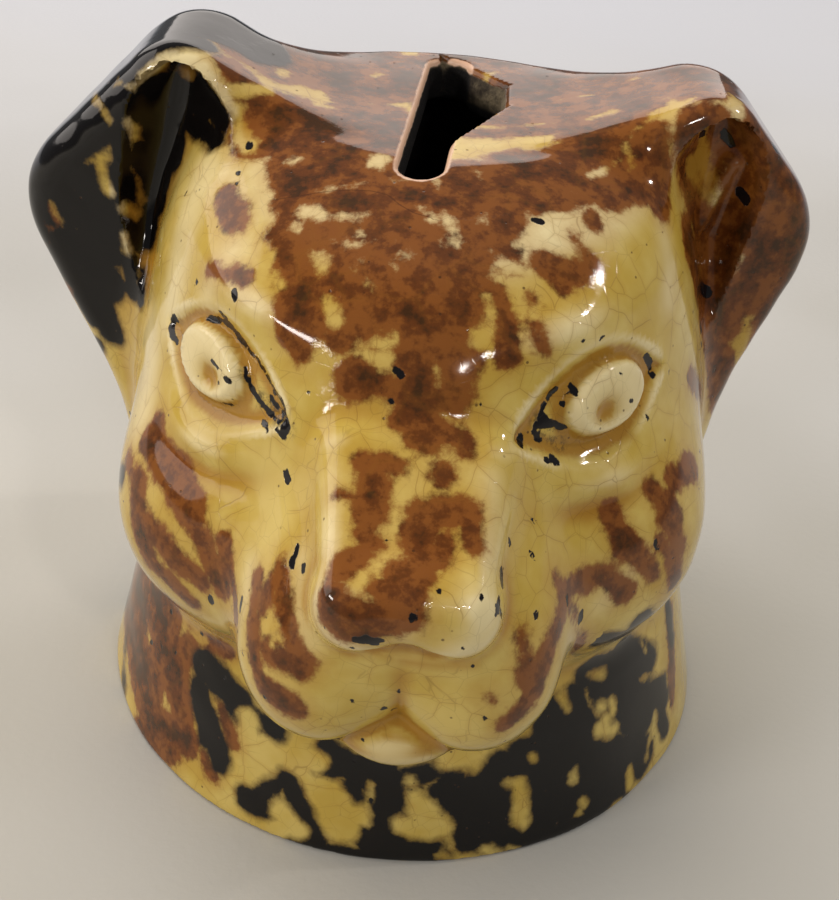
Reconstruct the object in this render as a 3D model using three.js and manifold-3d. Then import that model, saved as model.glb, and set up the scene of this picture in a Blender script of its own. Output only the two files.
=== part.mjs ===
// Dog head money bank in sponged, lead glazed yellowware.
// Two press moulded half shells meet on the plane y = 0, with the ears luted on, a slab floor and clay rolls inside.
// Millimetres, +Z up, face towards -Y, origin at the middle of the foot on the table.
import * as THREE from "three";
import { mergeVertices } from "three/addons/utils/BufferGeometryUtils.js";
import Module from "manifold-3d";

const wasm = await Module();
wasm.setup();

// Head sizes
const baseRadius = 40;
const pollHeight = 77.2;
const noseStandout = 16;
const wallThickness = 5;

// Ear sizes, each ear pressed by hand and so a little different: how far it stands out past the foot and over the poll
const leftEarStandout = 10;
const leftEarRise = 8;
const rightEarStandout = 4.6;
const rightEarRise = 6;
const earRootFront = 6.9;
const earRimFront = 1;
const earRootBack = 15;
const earRimBack = 6;
const earCupDepth = 5.4;
const earFoldHeight = 1.3;

// Eye sizes, in low relief
const eyeballHalfLength = 6.2;
const eyeballHalfHeight = 3.8;
const eyeballRise = 1.35;
const eyeballCrown = 0.35;
const lidHalfLength = 11.2;
const lidHalfHeight = 5.1;
const socketDepth = 1.15;
const pupilDepth = 0.75;
const browRise = 1;
const eyeBagRise = 0.7;
const reliefReach = 7.5;

// Coin slot and the old chip on its right lip
const slotLength = 34.6;
const slotWidth = 5;
const chipLength = 21;
const chipWidth = 5.2;
const chipDepth = 9;

// Floor and joints
const floorThickness = 4.5;
const footRimWidth = 5;
const floorChamfer = 0.8;
const floorRollWidth = 3;
const floorRollHeight = 2.6;
const seamRollRadius = 1.7;
const seamRollGap = 0.75;
const clearance = 0.3;
const overrun = 6;

// Sizes that follow from those above
const noseReach = baseRadius + noseStandout;
const floorRadius = baseRadius - footRimWidth;

// Head outline at each height: height, half width, depth to the front, depth to the back, corner power.
// Heights are shares of the poll height and the rest shares of the base radius.
const outlineShares = [
  [-0.04, 1.01, 1.01, 1.01, 2],
  [0, 0.998, 1, 0.998, 2],
  [0.078, 0.96, 0.972, 0.965, 2],
  [0.169, 0.918, 0.94, 0.93, 2],
  [0.234, 0.885, 0.905, 0.9, 2],
  [0.279, 0.86, 0.88, 0.885, 2.05],
  [0.338, 0.86, 0.88, 0.895, 2.1],
  [0.429, 0.862, 0.89, 0.915, 2.15],
  [0.519, 0.86, 0.91, 0.92, 2.15],
  [0.597, 0.85, 0.945, 0.91, 2.05],
  [0.675, 0.83, 0.995, 0.88, 1.9],
  [0.753, 0.8, 1.015, 0.825, 1.78],
  [0.818, 0.77, 0.96, 0.765, 1.78],
  [0.883, 0.725, 0.87, 0.69, 1.8],
  [0.935, 0.682, 0.755, 0.615, 1.7],
  [0.974, 0.645, 0.6, 0.545, 1.5],
  [1.013, 0.59, 0.325, 0.45, 1.25],
  [1.052, 0.5, 0.125, 0.3, 1.2],
];
const backPowerShare = 2.05;
const roundnessShare = 0.92;

// Soft forms joined to the head: centre and radii as shares of base radius, depth and poll height.
// On the muzzle the depth is the reach of the nose, elsewhere it is the base radius.
const cheek = {
  depth: baseRadius,
  centreShares: [0.5, -0.5, 0.508],
  leftShiftShare: 0.025,
  leftDropShare: 0.021,
  radiusShares: [0.305, 0.365, 0.171],
  blendShare: 0.15,
};
const cheekFront = {
  depth: baseRadius,
  centreShares: [0.39, -0.71, 0.516],
  leftShiftShare: 0,
  leftDropShare: 0.018,
  radiusShares: [0.215, 0.235, 0.148],
  blendShare: 0.15,
};
const muzzleCore = {
  depth: noseReach,
  centreShares: [0, -0.6875, 0.57],
  leftShiftShare: 0,
  leftDropShare: 0,
  radiusShares: [0.365, 0.241, 0.168],
  blendShare: 0.1625,
};
const lipLobe = {
  depth: noseReach,
  centreShares: [0.175, -0.739, 0.48],
  leftShiftShare: 0.0225,
  leftDropShare: 0,
  radiusShares: [0.2325, 0.2, 0.143],
  blendShare: 0.12,
};
const chin = {
  depth: noseReach,
  centreShares: [0, -0.739, 0.383],
  leftShiftShare: 0,
  leftDropShare: 0,
  radiusShares: [0.21, 0.168, 0.075],
  blendShare: 0.02,
};
const noseTip = {
  depth: noseReach,
  centreShares: [0, -0.911, 0.653],
  leftShiftShare: 0,
  leftDropShare: 0,
  radiusShares: [0.1375, 0.0857, 0.052],
  blendShare: 0.035,
};
const noseWing = {
  depth: noseReach,
  centreShares: [0.1125, -0.907, 0.635],
  leftShiftShare: 0,
  leftDropShare: 0,
  radiusShares: [0.1075, 0.0857, 0.053],
  blendShare: 0.05,
};
const nostril = {
  depth: noseReach,
  centreShares: [0.065, -0.993, 0.588],
  leftShiftShare: 0,
  leftDropShare: 0,
  radiusShares: [0.0475, 0.0464, 0.0117],
  blendShare: 0.0225,
};

// The bridge of the nose is a slab with soft edges that falls forward and narrows to the tip.
const bridge = {
  centreShares: [-0.005, -0.796, 0.666],
  halfShares: [0.21, 0.168, 0.07],
  edgeShare: 0.06,
  tiltShare: 0.075,
  taperShare: 0.4,
  blendShare: 0.08,
};
const lipGroove = {
  topShares: [0, -0.975, 0.596],
  lowShares: [0, -0.957, 0.427],
  topRadiusShare: 0.025,
  lowRadiusShare: 0.0375,
  blendShare: 0.04,
};
const pollEdgeShare = 0.03;
const jawLevelShares = [0.234, 0.39];
const sideEaseShare = 0.175;
const narrowSideShare = 0.015;

// Eye frame on the right side, with what the left eye moves by, and its relief in shares of the eye's sizes.
const eye = {
  centreShares: [0.4575, -0.745, 0.78],
  leftShiftShares: [0.09, 0.0725, -0.017],
  alongShares: [0.66, 0.751, 0],
  facingShares: [0.72, -0.625, 0.3],
  middleShares: [0.08, -0.053],
  lidMiddleShares: [-0.09, -0.04],
  lidEdgeShares: [-0.18, 0.12],
  lidEndShares: [0.94, 1.1],
  rimShares: [0.78, 1.1],
  pupilShares: [-0.145, -0.29],
  pupilSizeShares: [0.31, 0.39],
  browShares: [-0.36, 1.65],
  browSizeShares: [0.67, 0.53],
  bagShares: [-0.22, -1.57],
  bagSizeShares: [0.58, 0.39],
};

// Ear outline as shares of its reach and height: inner root, peak, elbow, foot. The cup is hollowed in its front,
// and in the left ear its upper part widens into a bowl that leans towards the crown.
const leftEar = {
  reach: baseRadius + leftEarStandout,
  height: pollHeight + leftEarRise,
  outlineShares: [
    [0.3, 0.903],
    [0.6, 1],
    [1, 0.758],
    [0.744, 0.446],
  ],
  cupMiddleShare: 0.618,
  cupWidthShare: 0.154,
  cupLowShare: 0.61,
  cupTopShare: 0.958,
  bowlShare: 0.048,
  foldShare: 0,
};
const rightEar = {
  reach: baseRadius + rightEarStandout,
  height: pollHeight + rightEarRise,
  outlineShares: [
    [0.314, 0.917],
    [0.682, 1],
    [1, 0.805],
    [0.767, 0.481],
  ],
  cupMiddleShare: 0.673,
  cupWidthShare: 0.157,
  cupLowShare: 0.649,
  cupTopShare: 0.96,
  bowlShare: 0,
  foldShare: 1,
};
const earTipRoundShare = 0.15;
const earRootRoundShare = 0.11;
const earFrontRoundShare = 0.07;
const earBackRoundShare = 0.13;
const cupFullShare = 0.6;
const cupFloorShare = 0.35;
const cupBrimShares = [0.98, 1.02];
const bowlRiseShares = [0.35, 0.75];
const foldTopShares = [0.72, 0.88];
const foldLowShares = [0.68, 0.8];
const foldWidthShare = 0.025;

const limit = (value, low, high) => Math.min(high, Math.max(low, value));
const mix = (from, to, t) => from + (to - from) * t;
const bell = (offset, spread) => Math.exp(-((offset / spread) ** 2));

function ease(from, to, value) {
  const t = limit((value - from) / (to - from), 0, 1);
  return t * t * (3 - 2 * t);
}

// Union and cut of two distance fields with a fillet of about the given size.
function softMin(a, b, size) {
  const t = limit((b - a) / size / 2 + 1 / 2, 0, 1);
  return mix(b, a, t) - size * t * (1 - t);
}

function softMax(a, b, size) {
  return -softMin(-a, -b, size);
}

// One column of the head outline at a height, by a smooth curve through its stations.
const stationHeights = outlineShares.map((row) => row[0] * pollHeight);

function stationSlope(column, i) {
  const low = Math.max(i - 1, 0);
  const high = Math.min(i + 1, outlineShares.length - 1);
  const rise = stationHeights[high] - stationHeights[low];
  return (outlineShares[high][column] - outlineShares[low][column]) / rise;
}

function outlineAt(z) {
  const last = outlineShares.length - 1;
  const height = limit(z, stationHeights[0], stationHeights[last]);
  let i = 0;
  while (i < last - 1 && stationHeights[i + 1] <= height) i += 1;
  const span = stationHeights[i + 1] - stationHeights[i];
  const t = (height - stationHeights[i]) / span;
  const bend = t * t * (3 - 2 * t);
  return outlineShares[i].map((value, column) => {
    const start = stationSlope(column, i) * span * t * (1 - t) * (1 - t);
    const end = stationSlope(column, i + 1) * span * t * t * (1 - t);
    return mix(value, outlineShares[i + 1][column], bend) + start - end;
  });
}

// Zero on the right side of the head, one on the left.
function leftness(x) {
  const width = sideEaseShare * baseRadius;
  return ease(-width, width, -x);
}

function bodyField(x, y, z) {
  const [, widthShare, frontShare, backShare, power] = outlineAt(z);
  const jaw = ease(jawLevelShares[0] * pollHeight, jawLevelShares[1] * pollHeight, z);
  const lean = (2 * leftness(x) - 1) * narrowSideShare * jaw;
  const width = (widthShare + lean) * baseRadius;
  const depth = (y < 0 ? frontShare : backShare) * baseRadius;
  const n = y < 0 ? power : backPowerShare;
  const sum = Math.abs(x / width) ** n + Math.abs(y / depth) ** n;
  return (sum ** (1 / n) - 1) * Math.min(width, depth) * roundnessShare;
}

// Distance, near enough, to an ellipsoid that is mirrored in x.
function lobeField(lobe, x, y, z) {
  const shift = lobe.leftShiftShare * leftness(x);
  const middle = (lobe.centreShares[0] + shift) * baseRadius;
  const radii = [baseRadius, lobe.depth, pollHeight].map((size, i) => size * lobe.radiusShares[i]);
  const offset = [
    Math.abs(x) - middle,
    y - lobe.centreShares[1] * lobe.depth,
    z - (lobe.centreShares[2] - lobe.leftDropShare * leftness(x)) * pollHeight,
  ];
  const scaled = Math.hypot(...offset.map((value, i) => value / radii[i]));
  const slope = Math.hypot(...offset.map((value, i) => value / radii[i] ** 2));
  return slope > 0 ? (scaled * (scaled - 1)) / slope : -Math.min(...radii);
}

function bridgeField(x, y, z) {
  const [cx, cy, cz] = bridge.centreShares;
  const dy = y - cy * noseReach;
  const dz = z - cz * pollHeight;
  const widen = 1 + bridge.taperShare * (y / noseReach - cy);
  const angle = bridge.tiltShare * 2 * Math.PI;
  const along = dy * Math.cos(angle) + dz * Math.sin(angle);
  const up = dz * Math.cos(angle) - dy * Math.sin(angle);
  const edge = bridge.edgeShare * baseRadius;
  const q = [
    Math.abs(x / widen - cx * baseRadius) - bridge.halfShares[0] * baseRadius + edge,
    Math.abs(along) - bridge.halfShares[1] * noseReach + edge,
    Math.abs(up) - bridge.halfShares[2] * pollHeight + edge,
  ];
  return Math.hypot(...q.map((value) => Math.max(value, 0))) + Math.min(Math.max(...q), 0) - edge;
}

// The groove from the nose down between the lips.
function grooveField(x, y, z) {
  const sizes = [baseRadius, noseReach, pollHeight];
  const top = new THREE.Vector3(...sizes.map((size, i) => size * lipGroove.topShares[i]));
  const low = new THREE.Vector3(...sizes.map((size, i) => size * lipGroove.lowShares[i]));
  const point = new THREE.Vector3(x, y, z);
  const run = low.clone().sub(top);
  const t = limit(point.clone().sub(top).dot(run) / run.lengthSq(), 0, 1);
  const radius = mix(lipGroove.topRadiusShare, lipGroove.lowRadiusShare, t) * baseRadius;
  return point.distanceTo(top.addScaledVector(run, t)) - radius;
}

// The head with cheeks and muzzle, before the fine modelling. The hollow inside follows this form.
function skullField(x, y, z) {
  const flat = softMax(bodyField(x, y, z), z - pollHeight, pollEdgeShare * baseRadius);
  const wide = softMin(flat, lobeField(cheek, x, y, z), cheek.blendShare * baseRadius);
  const cheeks = softMin(wide, lobeField(cheekFront, x, y, z), cheekFront.blendShare * baseRadius);
  const lips = softMin(
    lobeField(lipLobe, x, y, z),
    lobeField(muzzleCore, x, y, z),
    lipLobe.blendShare * baseRadius,
  );
  const muzzle = softMin(lips, lobeField(chin, x, y, z), chin.blendShare * baseRadius);
  const face = softMin(cheeks, muzzle, muzzleCore.blendShare * baseRadius);
  return softMin(face, bridgeField(x, y, z), bridge.blendShare * baseRadius);
}

// Axes of the eye: along the lids, up the eye and out of the head.
const eyeAlong = new THREE.Vector3(...eye.alongShares).normalize();
const eyeOut = new THREE.Vector3(...eye.facingShares);
eyeOut.addScaledVector(eyeAlong, -eyeOut.dot(eyeAlong)).normalize();
const eyeUp = eyeOut.clone().cross(eyeAlong).normalize();

// How far the eye's modelling raises or lowers the surface: below zero it stands proud.
function eyeRelief(x, y, z) {
  const side = leftness(x);
  const [cx, cy, cz] = eye.centreShares.map((share, i) => share + eye.leftShiftShares[i] * side);
  const spot = new THREE.Vector3(
    Math.abs(x) - cx * baseRadius,
    y - cy * baseRadius,
    z - cz * pollHeight,
  );
  const u = spot.dot(eyeAlong);
  const v = spot.dot(eyeUp);
  const lidU = u / lidHalfLength - eye.lidMiddleShares[0];
  const lidV = Math.abs(v / lidHalfHeight - eye.lidMiddleShares[1]);
  const opening = lidV - Math.max(1 - lidU * lidU, 0);
  const inLids = 1 - ease(eye.lidEdgeShares[0], eye.lidEdgeShares[1], opening);
  const inEnds = 1 - ease(eye.lidEndShares[0], eye.lidEndShares[1], Math.abs(lidU));
  const ballU = u / eyeballHalfLength - eye.middleShares[0];
  const ballV = v / eyeballHalfHeight - eye.middleShares[1];
  const ball = Math.hypot(ballU, ballV);
  const onBall = 1 - ease(eye.rimShares[0], eye.rimShares[1], ball);
  const pupilU = (u / eyeballHalfLength - eye.pupilShares[0]) / eye.pupilSizeShares[0];
  const pupilV = (v / eyeballHalfHeight - eye.pupilShares[1]) / eye.pupilSizeShares[1];
  const browU = (u / lidHalfLength - eye.browShares[0]) / eye.browSizeShares[0];
  const browV = (v / lidHalfHeight - eye.browShares[1]) / eye.browSizeShares[1];
  const bagU = (u / lidHalfLength - eye.bagShares[0]) / eye.bagSizeShares[0];
  const bagV = (v / lidHalfHeight - eye.bagShares[1]) / eye.bagSizeShares[1];
  const relief =
    socketDepth * inLids * inEnds -
    eyeballRise * onBall -
    eyeballCrown * Math.max(1 - ball * ball, 0) +
    pupilDepth * bell(Math.hypot(pupilU, pupilV), 1) -
    browRise * bell(Math.hypot(browU, browV), 1) -
    eyeBagRise * bell(Math.hypot(bagU, bagV), 1);
  return relief * bell(spot.dot(eyeOut), reliefReach);
}

function headField(x, y, z) {
  const nose = softMin(
    lobeField(noseTip, x, y, z),
    lobeField(noseWing, x, y, z),
    noseWing.blendShare * baseRadius,
  );
  const nosed = softMin(skullField(x, y, z), nose, noseTip.blendShare * baseRadius);
  const pierced = softMax(nosed, -lobeField(nostril, x, y, z), nostril.blendShare * baseRadius);
  const lipped = softMax(pierced, -grooveField(x, y, z), lipGroove.blendShare * baseRadius);
  return lipped + eyeRelief(x, y, z);
}

// Signed distance from a point to the line through two outline points, positive outside the ear.
function edgeField(from, to, across, z) {
  const run = [to[0] - from[0], to[1] - from[1]];
  const length = Math.hypot(...run);
  return ((z - from[1]) * run[0] - (across - from[0]) * run[1]) / length;
}

function earField(ear, x, y, z) {
  const across = Math.abs(x);
  const points = ear.outlineShares.map(([a, b]) => [a * ear.reach, b * ear.height]);
  const tip = softMax(
    edgeField(points[1], points[2], across, z),
    edgeField(points[2], points[3], across, z),
    earTipRoundShare * ear.reach,
  );
  const root = edgeField(points[0], points[1], across, z);
  const outline = softMax(tip, root, earRootRoundShare * ear.reach);
  const out = limit((across - ear.reach / 2) / (ear.reach / 2), 0, 1);
  const rise = (z / ear.height - ear.cupLowShare) / (ear.cupTopShare - ear.cupLowShare);
  const top = Math.sqrt(limit(1 - (limit(rise - cupFullShare, 0, 1) / (1 - cupFullShare)) ** 2, 0, 1));
  const width = ear.cupWidthShare * ear.reach * (Math.sqrt(limit(rise, 0, 1)) * top + foldWidthShare);
  const bowl = ear.bowlShare * ear.reach * ease(bowlRiseShares[0], bowlRiseShares[1], rise);
  const fromMiddle = (across - ear.cupMiddleShare * ear.reach + bowl) / width;
  const open = ease(0, cupFloorShare, rise) * (1 - ease(cupBrimShares[0], cupBrimShares[1], rise));
  const hollow = limit(1 - fromMiddle ** 2, 0, 1) * open;
  const fold = foldHeightAt(ear, across, z);
  const front = mix(-earRootFront, -earRimFront, out) - y + earCupDepth * hollow - fold;
  const back = y - mix(earRootBack, earRimBack, out);
  const plate = softMax(outline, front, earFrontRoundShare * ear.reach);
  return softMax(plate, back, earBackRoundShare * ear.reach);
}

// The fold of skin that runs down inside the cup of the right ear.
function foldHeightAt(ear, across, z) {
  const top = [foldTopShares[0] * ear.reach, foldTopShares[1] * ear.height];
  const low = [foldLowShares[0] * ear.reach, foldLowShares[1] * ear.height];
  const run = [low[0] - top[0], low[1] - top[1]];
  const along = (across - top[0]) * run[0] + (z - top[1]) * run[1];
  const t = limit(along / (run[0] ** 2 + run[1] ** 2), 0, 1);
  const gap = Math.hypot(across - top[0] - t * run[0], z - top[1] - t * run[1]);
  return ear.foldShare * earFoldHeight * bell(gap, foldWidthShare * ear.reach);
}

// Angles from a list of [share of a turn, steps up to the next entry].
function angleSteps(entries) {
  const angles = [];
  entries.slice(1).forEach(([end], i) => {
    const [start, steps] = entries[i];
    for (let k = 0; k < steps; k += 1) angles.push(mix(start, end, k / steps) * 2 * Math.PI);
  });
  angles.push(entries.at(-1)[0] * 2 * Math.PI);
  return angles;
}

// Where a ray from the middle first leaves the field.
function firstExit(field, middle, direction) {
  const stride = wallThickness / 2;
  let inside = 0;
  let outside = stride;
  const at = (r) => field(...middle.clone().addScaledVector(direction, r).toArray());
  while (at(outside) < 0) {
    inside = outside;
    outside += stride;
  }
  for (let i = 0; i < 22; i += 1) {
    const half = (inside + outside) / 2;
    if (at(half) < 0) inside = half;
    else outside = half;
  }
  return middle.clone().addScaledVector(direction, (inside + outside) / 2);
}

// A closed skin over a field, seen from a point inside it, on a grid of longitudes and latitudes.
// An open range of longitudes is closed by a flat face between its first and last meridian.
function skin(field, middle, longitudes, latitudes) {
  const turn = longitudes.at(-1) - longitudes[0];
  const whole = turn > 2 * Math.PI - 1 / overrun;
  const columns = whole ? longitudes.slice(0, -1) : longitudes;
  const rows = latitudes.slice(1, -1);
  const points = rows.flatMap((tilt) =>
    columns.map((angle) => {
      const level = Math.cos(tilt);
      const way = new THREE.Vector3(Math.sin(angle) * level, -Math.cos(angle) * level, Math.sin(tilt));
      const point = firstExit(field, middle, way);
      if (!whole && (angle === columns[0] || angle === columns.at(-1))) point.y = middle.y;
      return point;
    }),
  );
  const low = points.push(firstExit(field, middle, new THREE.Vector3(0, 0, -1))) - 1;
  const high = points.push(firstExit(field, middle, new THREE.Vector3(0, 0, 1))) - 1;
  const faces = [];
  const n = columns.length;
  for (let j = 0; j < n; j += 1) {
    const k = (j + 1) % n;
    faces.push([low, k, j]);
    for (let i = 0; i + 1 < rows.length; i += 1) {
      const corner = i * n;
      faces.push([corner + j, corner + k, corner + n + k], [corner + j, corner + n + k, corner + n + j]);
    }
    const end = (rows.length - 1) * n;
    faces.push([high, end + j, end + k]);
  }
  return solidFrom(points, faces);
}

function solidFrom(points, faces) {
  return new wasm.Manifold(
    new wasm.Mesh({
      numProp: 3,
      vertProperties: new Float32Array(points.flatMap((point) => point.toArray())),
      triVerts: new Uint32Array(faces.flat()),
    }),
  );
}

// A three.js geometry as a solid.
function solidOf(geometry) {
  const bare = geometry.clone();
  bare.deleteAttribute("normal");
  bare.deleteAttribute("uv");
  const merged = mergeVertices(bare);
  return new wasm.Manifold(
    new wasm.Mesh({
      numProp: 3,
      vertProperties: merged.attributes.position.array,
      triVerts: new Uint32Array(merged.index.array),
    }),
  );
}

// A block between two corners.
function block(low, high) {
  const size = high.clone().sub(low);
  const middle = low.clone().add(high).multiplyScalar(1 / 2);
  return solidOf(new THREE.BoxGeometry(...size.toArray()).translate(...middle.toArray()));
}

const widest = Math.max(leftEar.reach, rightEar.reach, baseRadius, noseReach) + overrun;
const tallest = Math.max(leftEar.height, rightEar.height, pollHeight) + overrun;
const belowTable = block(new THREE.Vector3(-widest, -widest, -widest), new THREE.Vector3(widest, widest, 0));
const behindSeam = block(new THREE.Vector3(-widest, 0, -widest), new THREE.Vector3(widest, widest, tallest));
const beforeSeam = block(new THREE.Vector3(-widest, -widest, -widest), new THREE.Vector3(widest, 0, tallest));

// Head centre that every part of the face can be seen from, and a stop below the foot.
const centreHeightShare = 0.545;
const headCentre = new THREE.Vector3(0, 0, centreHeightShare * pollHeight);
const standing = (field) => (x, y, z) => Math.max(field(x, y, z), -z - overrun / 2);

// Share of a turn from the head centre down to a corner of the foot.
const footTurn = (radius) => -Math.atan2(headCentre.z + overrun / 2, radius) / (2 * Math.PI);

// Steps are closest over the eyes.
const faceColumns = angleSteps([[-0.25, 5], [-0.152, 26], [-0.045, 14], [0.045, 26], [0.152, 5], [0.25, 0]]);
const faceRows = angleSteps([[-0.25, 2], [footTurn(baseRadius), 3], [-0.086, 20], [0.032, 21], [0.1, 10], [0.25, 0]]);
const backColumns = angleSteps([[0.25, 16], [0.75, 0]]);
const backRows = angleSteps([[-0.25, 2], [footTurn(baseRadius), 18], [0.25, 0]]);
const hollowColumns = angleSteps([[0, 24], [1, 0]]);
const hollowRows = angleSteps([[-0.25, 2], [footTurn(baseRadius - wallThickness), 14], [0.25, 0]]);

// The hollow keeps one wall thickness everywhere, and opens downwards for the floor.
const hollowField = (x, y, z) => skullField(x, y, z) + wallThickness;
const hollow = skin(standing(hollowField), headCentre, hollowColumns, hollowRows);

// Round seat in the foot that takes the floor slab.
const roundSides = 40;
const floorSeat = solidOf(
  new THREE.CylinderGeometry(floorRadius + clearance, floorRadius + clearance, floorThickness + overrun, roundSides)
    .rotateX(Math.PI / 2)
    .translate(0, 0, (floorThickness + clearance - overrun + clearance) / 2),
);

// The slot is a stadium cut straight down through the poll, a little askew.
const slotSkewShare = 0.011;
const slotMiddleShares = [-0.012, -0.015];
const chipMiddleShares = [0.11, 0.125];
const slotArcSteps = 8;

function slotTool() {
  const radius = slotWidth / 2;
  const straight = slotLength / 2 - radius;
  const shape = new THREE.Shape();
  shape.absarc(0, -straight, radius, Math.PI, 2 * Math.PI);
  shape.absarc(0, straight, radius, 0, Math.PI);
  const depth = wallThickness + 2 * overrun;
  const prism = new THREE.ExtrudeGeometry(shape, { depth, bevelEnabled: false, curveSegments: slotArcSteps });
  prism.rotateZ(-slotSkewShare * 2 * Math.PI);
  prism.translate(
    slotMiddleShares[0] * baseRadius,
    slotMiddleShares[1] * baseRadius,
    pollHeight - wallThickness - overrun,
  );
  return solidOf(prism);
}

// The chip is a scallop knocked out of the slot's right lip, right through the wall.
function chipTool() {
  const scoop = new THREE.SphereGeometry(1, 20, 12);
  scoop.scale(chipWidth, chipLength / 2, chipDepth);
  scoop.translate(chipMiddleShares[0] * baseRadius - chipWidth / 2, chipMiddleShares[1] * baseRadius, pollHeight);
  return solidOf(scoop);
}

function shell(columns, rows, otherSide) {
  return skin(standing(headField), headCentre, columns, rows)
    .subtract(otherSide)
    .subtract(hollow)
    .subtract(belowTable)
    .subtract(floorSeat)
    .subtract(slotTool())
    .subtract(chipTool());
}

// An ear is cut to sit on the head, with a joint gap against the shells.
const earCentreShares = [0.66, 0.78];
const earCentreDepthShare = 0.14;
const earZoneShares = [0.6, 0.62, 0.42];
const earColumns = angleSteps([[0, 30], [1, 0]]);
const earRows = angleSteps([[-0.25, 24], [0.25, 0]]);
const earBed = standing((x, y, z) => headField(x, y, z) - clearance);
const earBedFront = skin(earBed, headCentre, faceColumns, faceRows);
const earBedBack = skin(earBed, headCentre, backColumns, backRows);

function earSolid(ear, side) {
  const middle = new THREE.Vector3(
    side * earCentreShares[0] * ear.reach,
    earCentreDepthShare * baseRadius,
    earCentreShares[1] * ear.height,
  );
  const sizes = [ear.reach, baseRadius, ear.height].map((size, i) => size * earZoneShares[i]);
  const zone = (x, y, z) => {
    const far = Math.hypot((x - middle.x) / sizes[0], (y - middle.y) / sizes[1], (z - middle.z) / sizes[2]);
    return (far - 1) * Math.min(...sizes);
  };
  const field = (x, y, z) => Math.max(earField(ear, x, y, z), zone(x, y, z));
  return skin(field, middle, earColumns, earRows).subtract(earBedFront).subtract(earBedBack);
}

// A slab floor with a chamfered lower edge, flush with the foot.
function floorSolid() {
  const profile = [
    [0, 0],
    [floorRadius - floorChamfer, 0],
    [floorRadius, floorChamfer],
    [floorRadius, floorThickness],
    [0, floorThickness],
  ];
  return solidOf(turned(profile));
}

function turned(profile) {
  const points = profile.map(([r, z]) => new THREE.Vector2(r, z));
  return new THREE.LatheGeometry(points, roundSides).rotateX(Math.PI / 2);
}

// A ring of clay pressed into the corner over the floor, flat below and rounded above.
function floorRollSolid() {
  const outer = floorRadius - wallThickness;
  const steps = 5;
  const profile = [[outer - floorRollWidth, floorThickness], [outer, floorThickness]];
  for (let i = 1; i < steps; i += 1) {
    const angle = (i / steps) * Math.PI;
    const middle = outer - floorRollWidth / 2;
    profile.push([
      middle + (Math.cos(angle) * floorRollWidth) / 2,
      floorThickness + Math.sin(angle) * floorRollHeight,
    ]);
  }
  profile.push(profile[0]);
  return solidOf(turned(profile));
}

// A round bar of clay along a path, closed by domed ends.
function bar(path, radius, steps, sides) {
  const frames = path.computeFrenetFrames(steps, false);
  const points = [];
  for (let i = 0; i <= steps; i += 1) {
    const middle = path.getPointAt(i / steps);
    for (let j = 0; j < sides; j += 1) {
      const angle = (j / sides) * 2 * Math.PI;
      const ring = middle.clone();
      ring.addScaledVector(frames.normals[i], radius * Math.cos(angle));
      ring.addScaledVector(frames.binormals[i], radius * Math.sin(angle));
      points.push(ring);
    }
  }
  const first = points.push(path.getPointAt(0).addScaledVector(frames.tangents[0], -radius / 2)) - 1;
  const last = points.push(path.getPointAt(1).addScaledVector(frames.tangents[steps], radius / 2)) - 1;
  const faces = [];
  for (let j = 0; j < sides; j += 1) {
    const k = (j + 1) % sides;
    faces.push([first, k, j]);
    for (let i = 0; i < steps; i += 1) {
      const corner = i * sides;
      faces.push([corner + j, corner + k, corner + sides + k]);
      faces.push([corner + j, corner + sides + k, corner + sides + j]);
    }
    faces.push([last, steps * sides + j, steps * sides + k]);
  }
  return solidFrom(points, faces);
}

// The clay roll inside the seam, from the floor up the wall and over to the slot.
const seamStartShare = 0.2;
const seamEndShare = 0.2;
const seamStations = 9;

function seamRollSolid(side) {
  const inset = wallThickness + seamRollGap + seamRollRadius;
  const field = (x, y, z) => skullField(x, y, z) + inset;
  const startHeight = floorThickness + floorRollHeight + 2 * seamRollRadius;
  const low = Math.atan2(startHeight - headCentre.z, baseRadius - inset);
  const high = Math.PI / 2 - seamEndShare;
  const stops = [];
  for (let i = 0; i < seamStations; i += 1) {
    const tilt = mix(low, high, i / (seamStations - 1));
    stops.push(firstExit(field, headCentre, new THREE.Vector3(side * Math.cos(tilt), 0, Math.sin(tilt))));
  }
  return bar(new THREE.CatmullRomCurve3(stops), seamRollRadius, 2 * seamStations, 8);
}

// A manifold solid as a named mesh with its own finish.
function meshOf(name, solid, finish) {
  const made = solid.getMesh();
  const geometry = new THREE.BufferGeometry();
  const positions = new Float32Array(made.numVert * 3);
  for (let i = 0; i < made.numVert; i += 1) {
    positions.set(made.vertProperties.subarray(i * made.numProp, i * made.numProp + 3), i * 3);
  }
  geometry.setAttribute("position", new THREE.BufferAttribute(positions, 3));
  geometry.setIndex(new THREE.BufferAttribute(made.triVerts, 1));
  const mesh = new THREE.Mesh(geometry, new THREE.MeshStandardMaterial({ ...finish, metalness: 0 }));
  mesh.name = name;
  return mesh;
}

const yellowGlaze = { color: "#cfae5e", roughness: 0.12 };
const brownGlaze = { color: "#6f3c17", roughness: 0.12 };
const blackGlaze = { color: "#1d1814", roughness: 0.1 };
const barePaste = { color: "#d8c9a6", roughness: 0.8 };

const bank = new THREE.Group();
bank.name = "dog_head_money_bank";
bank.add(
  meshOf("face_shell", shell(faceColumns, faceRows, behindSeam), yellowGlaze),
  meshOf("back_shell", shell(backColumns, backRows, beforeSeam), brownGlaze),
  meshOf("left_ear", earSolid(leftEar, -1), blackGlaze),
  meshOf("right_ear", earSolid(rightEar, 1), brownGlaze),
  meshOf("floor_slab", floorSolid(), barePaste),
  meshOf("floor_roll", floorRollSolid(), barePaste),
  meshOf("seam_roll_left", seamRollSolid(-1), barePaste),
  meshOf("seam_roll_right", seamRollSolid(1), barePaste),
);

export default bank;
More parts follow.
